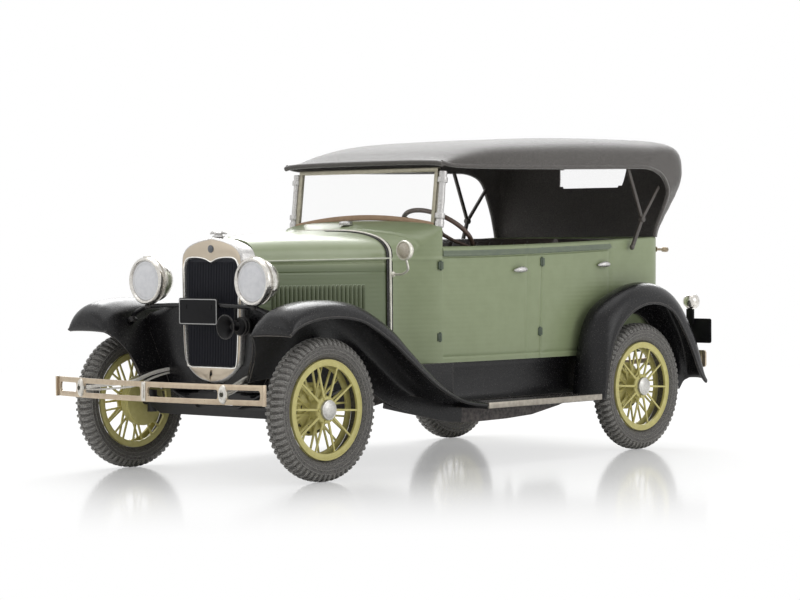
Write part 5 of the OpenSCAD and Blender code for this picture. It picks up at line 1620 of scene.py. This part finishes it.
lamp_base = Vector((BAND_W / 2 + 12, BONNET_Y1 + 15, SHOULDER_Z - 84))
lamp_place = Vector((BAND_W / 2 + 146, BONNET_Y1 - 40, SHOULDER_Z + 43))
arm = tube(smooth_line([lamp_base, lamp_base + Vector((70, -8, 2)), lamp_base + Vector((118, -15, 26)),
                        lamp_base + Vector((132, -38, 66)), lamp_place + Vector((-4, 12, -36))], 20), 7, 10)
small_bowl = spun([(0, 46), (16, 44), (34, 34), (47, 18), (54, 2), (54, -8), (50, -14), (45, -14),
                   (43, -8), (0, -8)], lamp_place, (0, 1, 0), 40)
boss = spun([(0, -4), (15, -4), (16, 2), (10, 10), (0, 12)], lamp_base, (1, 0, 0), 16)
small_lamp = together(arm, small_bowl, boss)
piece("cowl_lamps_bowls", both(small_lamp), band_cream,
      stands_for=["cowl_lamps"])
small_lens = spun([(0, -7), (43, -7), (38, -14), (20, -20), (0, -21)], lamp_place, (0, 1, 0), 40)
small_look = finish("small_lens", (0.62, 0.565, 0.46), 0.20, second=(0.44, 0.37, 0.28), patch=0.12,
                    blend=0.6, grain=0.005, grain_size=0.12, coat=0.5)
piece("cowl_lamps_lenses", both(small_lens), small_look)

# ---- bumpers ------------------------------------------------------------------------------
# The front bumper is one etched and bent strip with rounded slots, held by two oval clamps and a
# middle clamp on curved arms. Two short ones guard the rear.

BUMPER_BOW, BUMPER_H, BUMPER_T, BAR_H = 93, 102, 12, 27
BUMPER_Y, BUMPER_HALF, BUMPER_Z = full("front_bumper")[0].y, 772, 407
BUMPER_R = (BUMPER_HALF ** 2 + BUMPER_BOW ** 2) / (2 * BUMPER_BOW)


def on_bow(x, z, depth):
    """A place on the bent strip, depth behind its front face."""
    a = math.asin(max(-1, min(1, x / BUMPER_R)))
    r = BUMPER_R - depth
    return Vector((r * math.sin(a), BUMPER_Y + BUMPER_R - r * math.cos(a), z))


def slotted_strip(x0, x1, slots, z0, tall, place, thick, corner=10, tip=11):
    """A strip with rounded slots: the outline is cut from one sheet and bent along its length."""
    xs = set([x0, x1, x0 + corner, x1 - corner])
    reach = tall / 2 - BAR_H
    for a, b in slots:
        xs |= {a + tip * (1 - math.cos(math.radians(t))) for t in range(0, 91, 18)}
        xs |= {b - tip * (1 - math.cos(math.radians(t))) for t in range(0, 91, 18)}
    span = x1 - x0
    xs |= {x0 + span * k / 60 for k in range(61)}
    xs = sorted(xs)

    def gap(x):
        """Half the height of the slot at x."""
        for a, b in slots:
            if a <= x <= b:
                end = min(x - a, b - x)
                return reach if end >= tip else reach * math.sqrt(max(0.0, 1 - (1 - end / tip) ** 2))
        return 0.0

    def outer(x):
        """Half the height of the strip at x."""
        into = max(0.0, corner - min(x - x0, x1 - x))
        return tall / 2 - corner + math.sqrt(max(0.0, corner ** 2 - into ** 2))

    mid = z0 + tall / 2
    halves = []
    for sign in (-1, 1):
        rows = []
        for x in xs:
            inner, out = gap(x), outer(x)
            rows.append([place(x, mid + sign * h, d) for h, d in
                         ((inner, 0), (inner + 3 if inner else 0, -1.2), (out - 4, -1.2), (out, 1.5),
                          (out, thick), (inner, thick))])
        halves.append(loft(rows, round_cols=True, caps=True))
    return together(*halves)


SLOTS = [(s0 * BUMPER_HALF, s1 * BUMPER_HALF) for s0, s1 in
         ((-0.968, -0.745), (-0.655, -0.032), (0.032, 0.645), (0.712, 0.968))]
strip = slotted_strip(-BUMPER_HALF, BUMPER_HALF, SLOTS, BUMPER_Z, BUMPER_H, on_bow, BUMPER_T)
strip = piece("bumper_strip", strip, champagne, angle=45)
CLAMP_X = 530
clamp_mid = BUMPER_Z + BUMPER_H / 2
clamps = []
for s in (-1, 1):
    centre = on_bow(s * CLAMP_X, clamp_mid, -3)
    points, faces = spun([(0, 14), (28, 14), (30, 2), (26, -8), (17, -12), (13, -12), (12, -8), (0, -8)],
                         (0, 0, 0), (0, 1, 0), 32)
    turn = Matrix.Rotation(math.asin(s * CLAMP_X / BUMPER_R), 3, "Z")
    clamps.append(([tuple(centre + turn @ Vector((x * 0.90, y, z * 1.62))) for x, y, z in points], faces))
middle_clamp = box_skin((-14, BUMPER_Y - 6, BUMPER_Z + 3), (14, BUMPER_Y + 15, BUMPER_Z + BUMPER_H - 3))
middle_rib = box_skin((-6, BUMPER_Y - 12, BUMPER_Z + 14), (6, BUMPER_Y - 2, BUMPER_Z + BUMPER_H - 14))
silver_arm = finish("silver_arm", (0.70, 0.68, 0.63), 0.30, metal=0.85, second=(0.48, 0.45, 0.40),
                    patch=0.15, blend=0.6, grain=0.005, grain_size=0.06)
pads = piece("bumper_middle_clamp", together(middle_clamp, middle_rib), silver_arm, bevel=3)
piece("bumper_clamps", together(*clamps), silver_arm, bevel=1)
bolts = [spun([(0, -12), (12, -12), (12, -14), (9, -16), (0, -17)],
              on_bow(s * CLAMP_X, clamp_mid, -3), (s * math.sin(CLAMP_X / BUMPER_R) * -1, 1, 0), 6)
         for s in (-1, 1)]
piece("bumper_clamp_bolts", together(*bolts), bolt_dark_and_hole_shade)
ends = [box_skin((s * BUMPER_HALF - 8, BUMPER_Y + BUMPER_BOW - 12, BUMPER_Z - 2),
                 (s * BUMPER_HALF + 3, BUMPER_Y + BUMPER_BOW + 10, BUMPER_Z + BUMPER_H + 2)) for s in (-1, 1)]
end_rolls = piece("bumper_ends", together(*ends), champagne, bevel=3)
clamp_y = on_bow(CLAMP_X, 0, 0).y
arm_joint = (CLAMP_X - 2, clamp_y + 12, clamp_mid)


def arm_path(drop, *heights):
    """One leaf of a bumper arm, from the clamp to the frame; drop is how far it starts below."""
    places = ((RAIL_X + 66, -1660), (RAIL_X + 42, -1602), (RAIL_X + 30, -1510), (RAIL_X + 20, -1404),
              (RAIL_X + 14, -1276), (RAIL_X + 10, -1190), (RAIL_X + 24, -1130))
    start = Vector(arm_joint) - Vector((0, 0, drop))
    bend = (CLAMP_X - 60, clamp_y + 75, heights[0])
    return smooth_line([start, bend] + [(x, y, z) for (x, y), z in zip(places, heights[1:])], 48)


high_leaf = arm_path(0, 468, 480, 495, 524, 542, 548, 520, 478)
low_leaf = arm_path(8, 448, 456, 468, 500, 523, 534, 506, 468)


def flat_arm(path, tall, thick):
    """A flat bar on edge along a path."""
    rows = []
    for i, p in enumerate(path):
        aside = heading(path, i).cross(Vector((0, 0, 1))).normalized() * thick / 2
        up = Vector((0, 0, tall / 2))
        rows.append([p - aside - up, p + aside - up, p + aside + up, p - aside + up])
    return loft(rows, round_cols=True, caps=True)


arm = together(flat_arm(high_leaf, 17, 16), flat_arm(low_leaf, 10, 16))
arm_silver = finish("arm_silver", (0.84, 0.82, 0.77), 0.25, metal=0.25, second=(0.60, 0.57, 0.51),
                    patch=0.12, blend=0.6)
piece("bumper_arms_curved", both(arm), arm_silver, bevel=2)
joined("front_bumper_etched", strip, pads, end_rolls, slot="nickel", stands_for=["front_bumper"])

REAR_FACE = full("rear_bumperettes")[1].y


def flat_place(x, z, depth):
    """A place on a rear bumperette, which bows forwards a little at its ends."""
    return Vector((x, REAR_FACE - depth - 8 * ((x - 552) / 222) ** 2, z))


short_strip = slotted_strip(330, 775, [(364, 741)], 452, 100, flat_place, 12)
short_clamp = box_skin((498, REAR_FACE - 20, 450), (536, REAR_FACE + 6 - 8, 554))
short_arm = flat_arm(smooth_line([(517, REAR_FACE - 16, 502), (505, REAR_FACE - 60, 500),
                                  (430, REAR_FACE - 150, 488), (RAIL_X + 33, TAIL_Y - 70, 476)], 20), 30, 13)
guard = piece("rear_strips", both(together(short_strip, short_clamp)), champagne, angle=45)
guard_arms = piece("rear_arms", both(short_arm), champagne, bevel=2)
joined("rear_bumperettes_etched", guard, guard_arms, slot="nickel", stands_for=["rear_bumperettes"])

# ---- chassis ------------------------------------------------------------------------------
# The frame, floor, sump, axles and springs are cast in black and brown-black metal and plastic.
# Their edges are softened, since no moulding of this size has a sharp one.


def softened(node, look, bevel):
    """A CAD node's own shape with its edges rounded and a finish of its own."""
    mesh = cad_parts[node].data.copy()
    bm = bmesh.new()
    bm.from_mesh(mesh)
    bmesh.ops.remove_doubles(bm, verts=bm.verts, dist=0.05 * MM)
    bmesh.ops.dissolve_limit(bm, angle_limit=math.radians(2), verts=bm.verts, edges=bm.edges)
    bm.to_mesh(mesh)
    bm.free()
    made = bpy.data.objects.new(node + "_cast", mesh)
    scene.collection.objects.link(made)
    round_edges(made, bevel, 32)
    return settled(made, look, "root", [node], 40)


frame_black = finish("frame_black", (0.013, 0.013, 0.014), 0.5, second=(0.030, 0.028, 0.027),
                     patch=0.3, grain=0.010, grain_size=0.06, edge_wear_and_highlight=(0.16, 0.15, 0.14))
floor_grey = finish("floor_plastic", (0.030, 0.030, 0.031), 0.62, second=(0.045, 0.044, 0.043),
                    patch=0.6, grain=0.012, grain_size=0.07)
cast_brown = finish("exhaust_brown", (0.115, 0.095, 0.080), 0.5, metal=0.5,
                    second=(0.20, 0.13, 0.09), patch=0.2, blend=0.7, grain=0.012, grain_size=0.06)
for node, look, slot, bevel in (
        ("chassis_frame", frame_black, "black_paint", 4), ("floor_pan", floor_grey, "floor_plastic", 3),
        ("engine_sump", frame_black, "black_paint", 8), ("exhaust", cast_brown, "exhaust_metal", 3),
        ("front_axle", frame_black, "black_paint", 2), ("rear_axle", frame_black, "black_paint", 3),
        ("front_spring", frame_black, "black_paint", 1.5), ("rear_spring", frame_black, "black_paint", 1.5),
        ("steering_column", iron_paint, "iron_paint", 2), ("control_levers", iron_paint, "iron_paint", 2)):
    softened(node, look, bevel)

pan = loft([[(150, y, 352), (240, y, 392), (RAIL_X + 4, y, 432)] for y in (SHELL_Y0 + 30, -1200, -1000)])
piece("splash_pans", both(pan), frame_black, wall=-6, solid=False)

rivet = spun([(0, 0), (7, 0), (6, 4), (0, 5.5)], (0, 0, 0), (1, 0, 0), 8)
low, high = full("chassis_frame")
RIVETS, rivet_run = 16, high.y - low.y - 120
for side, sign, on_side in SIDES:
    first = moved(on_side(rivet), (sign * high.x, low.y + 60, 470))
    copies("frame_rivets_" + side, first, RIVETS, frame_black, slot="black_paint",
           step=(0, rivet_run / (RIVETS - 1), 0))
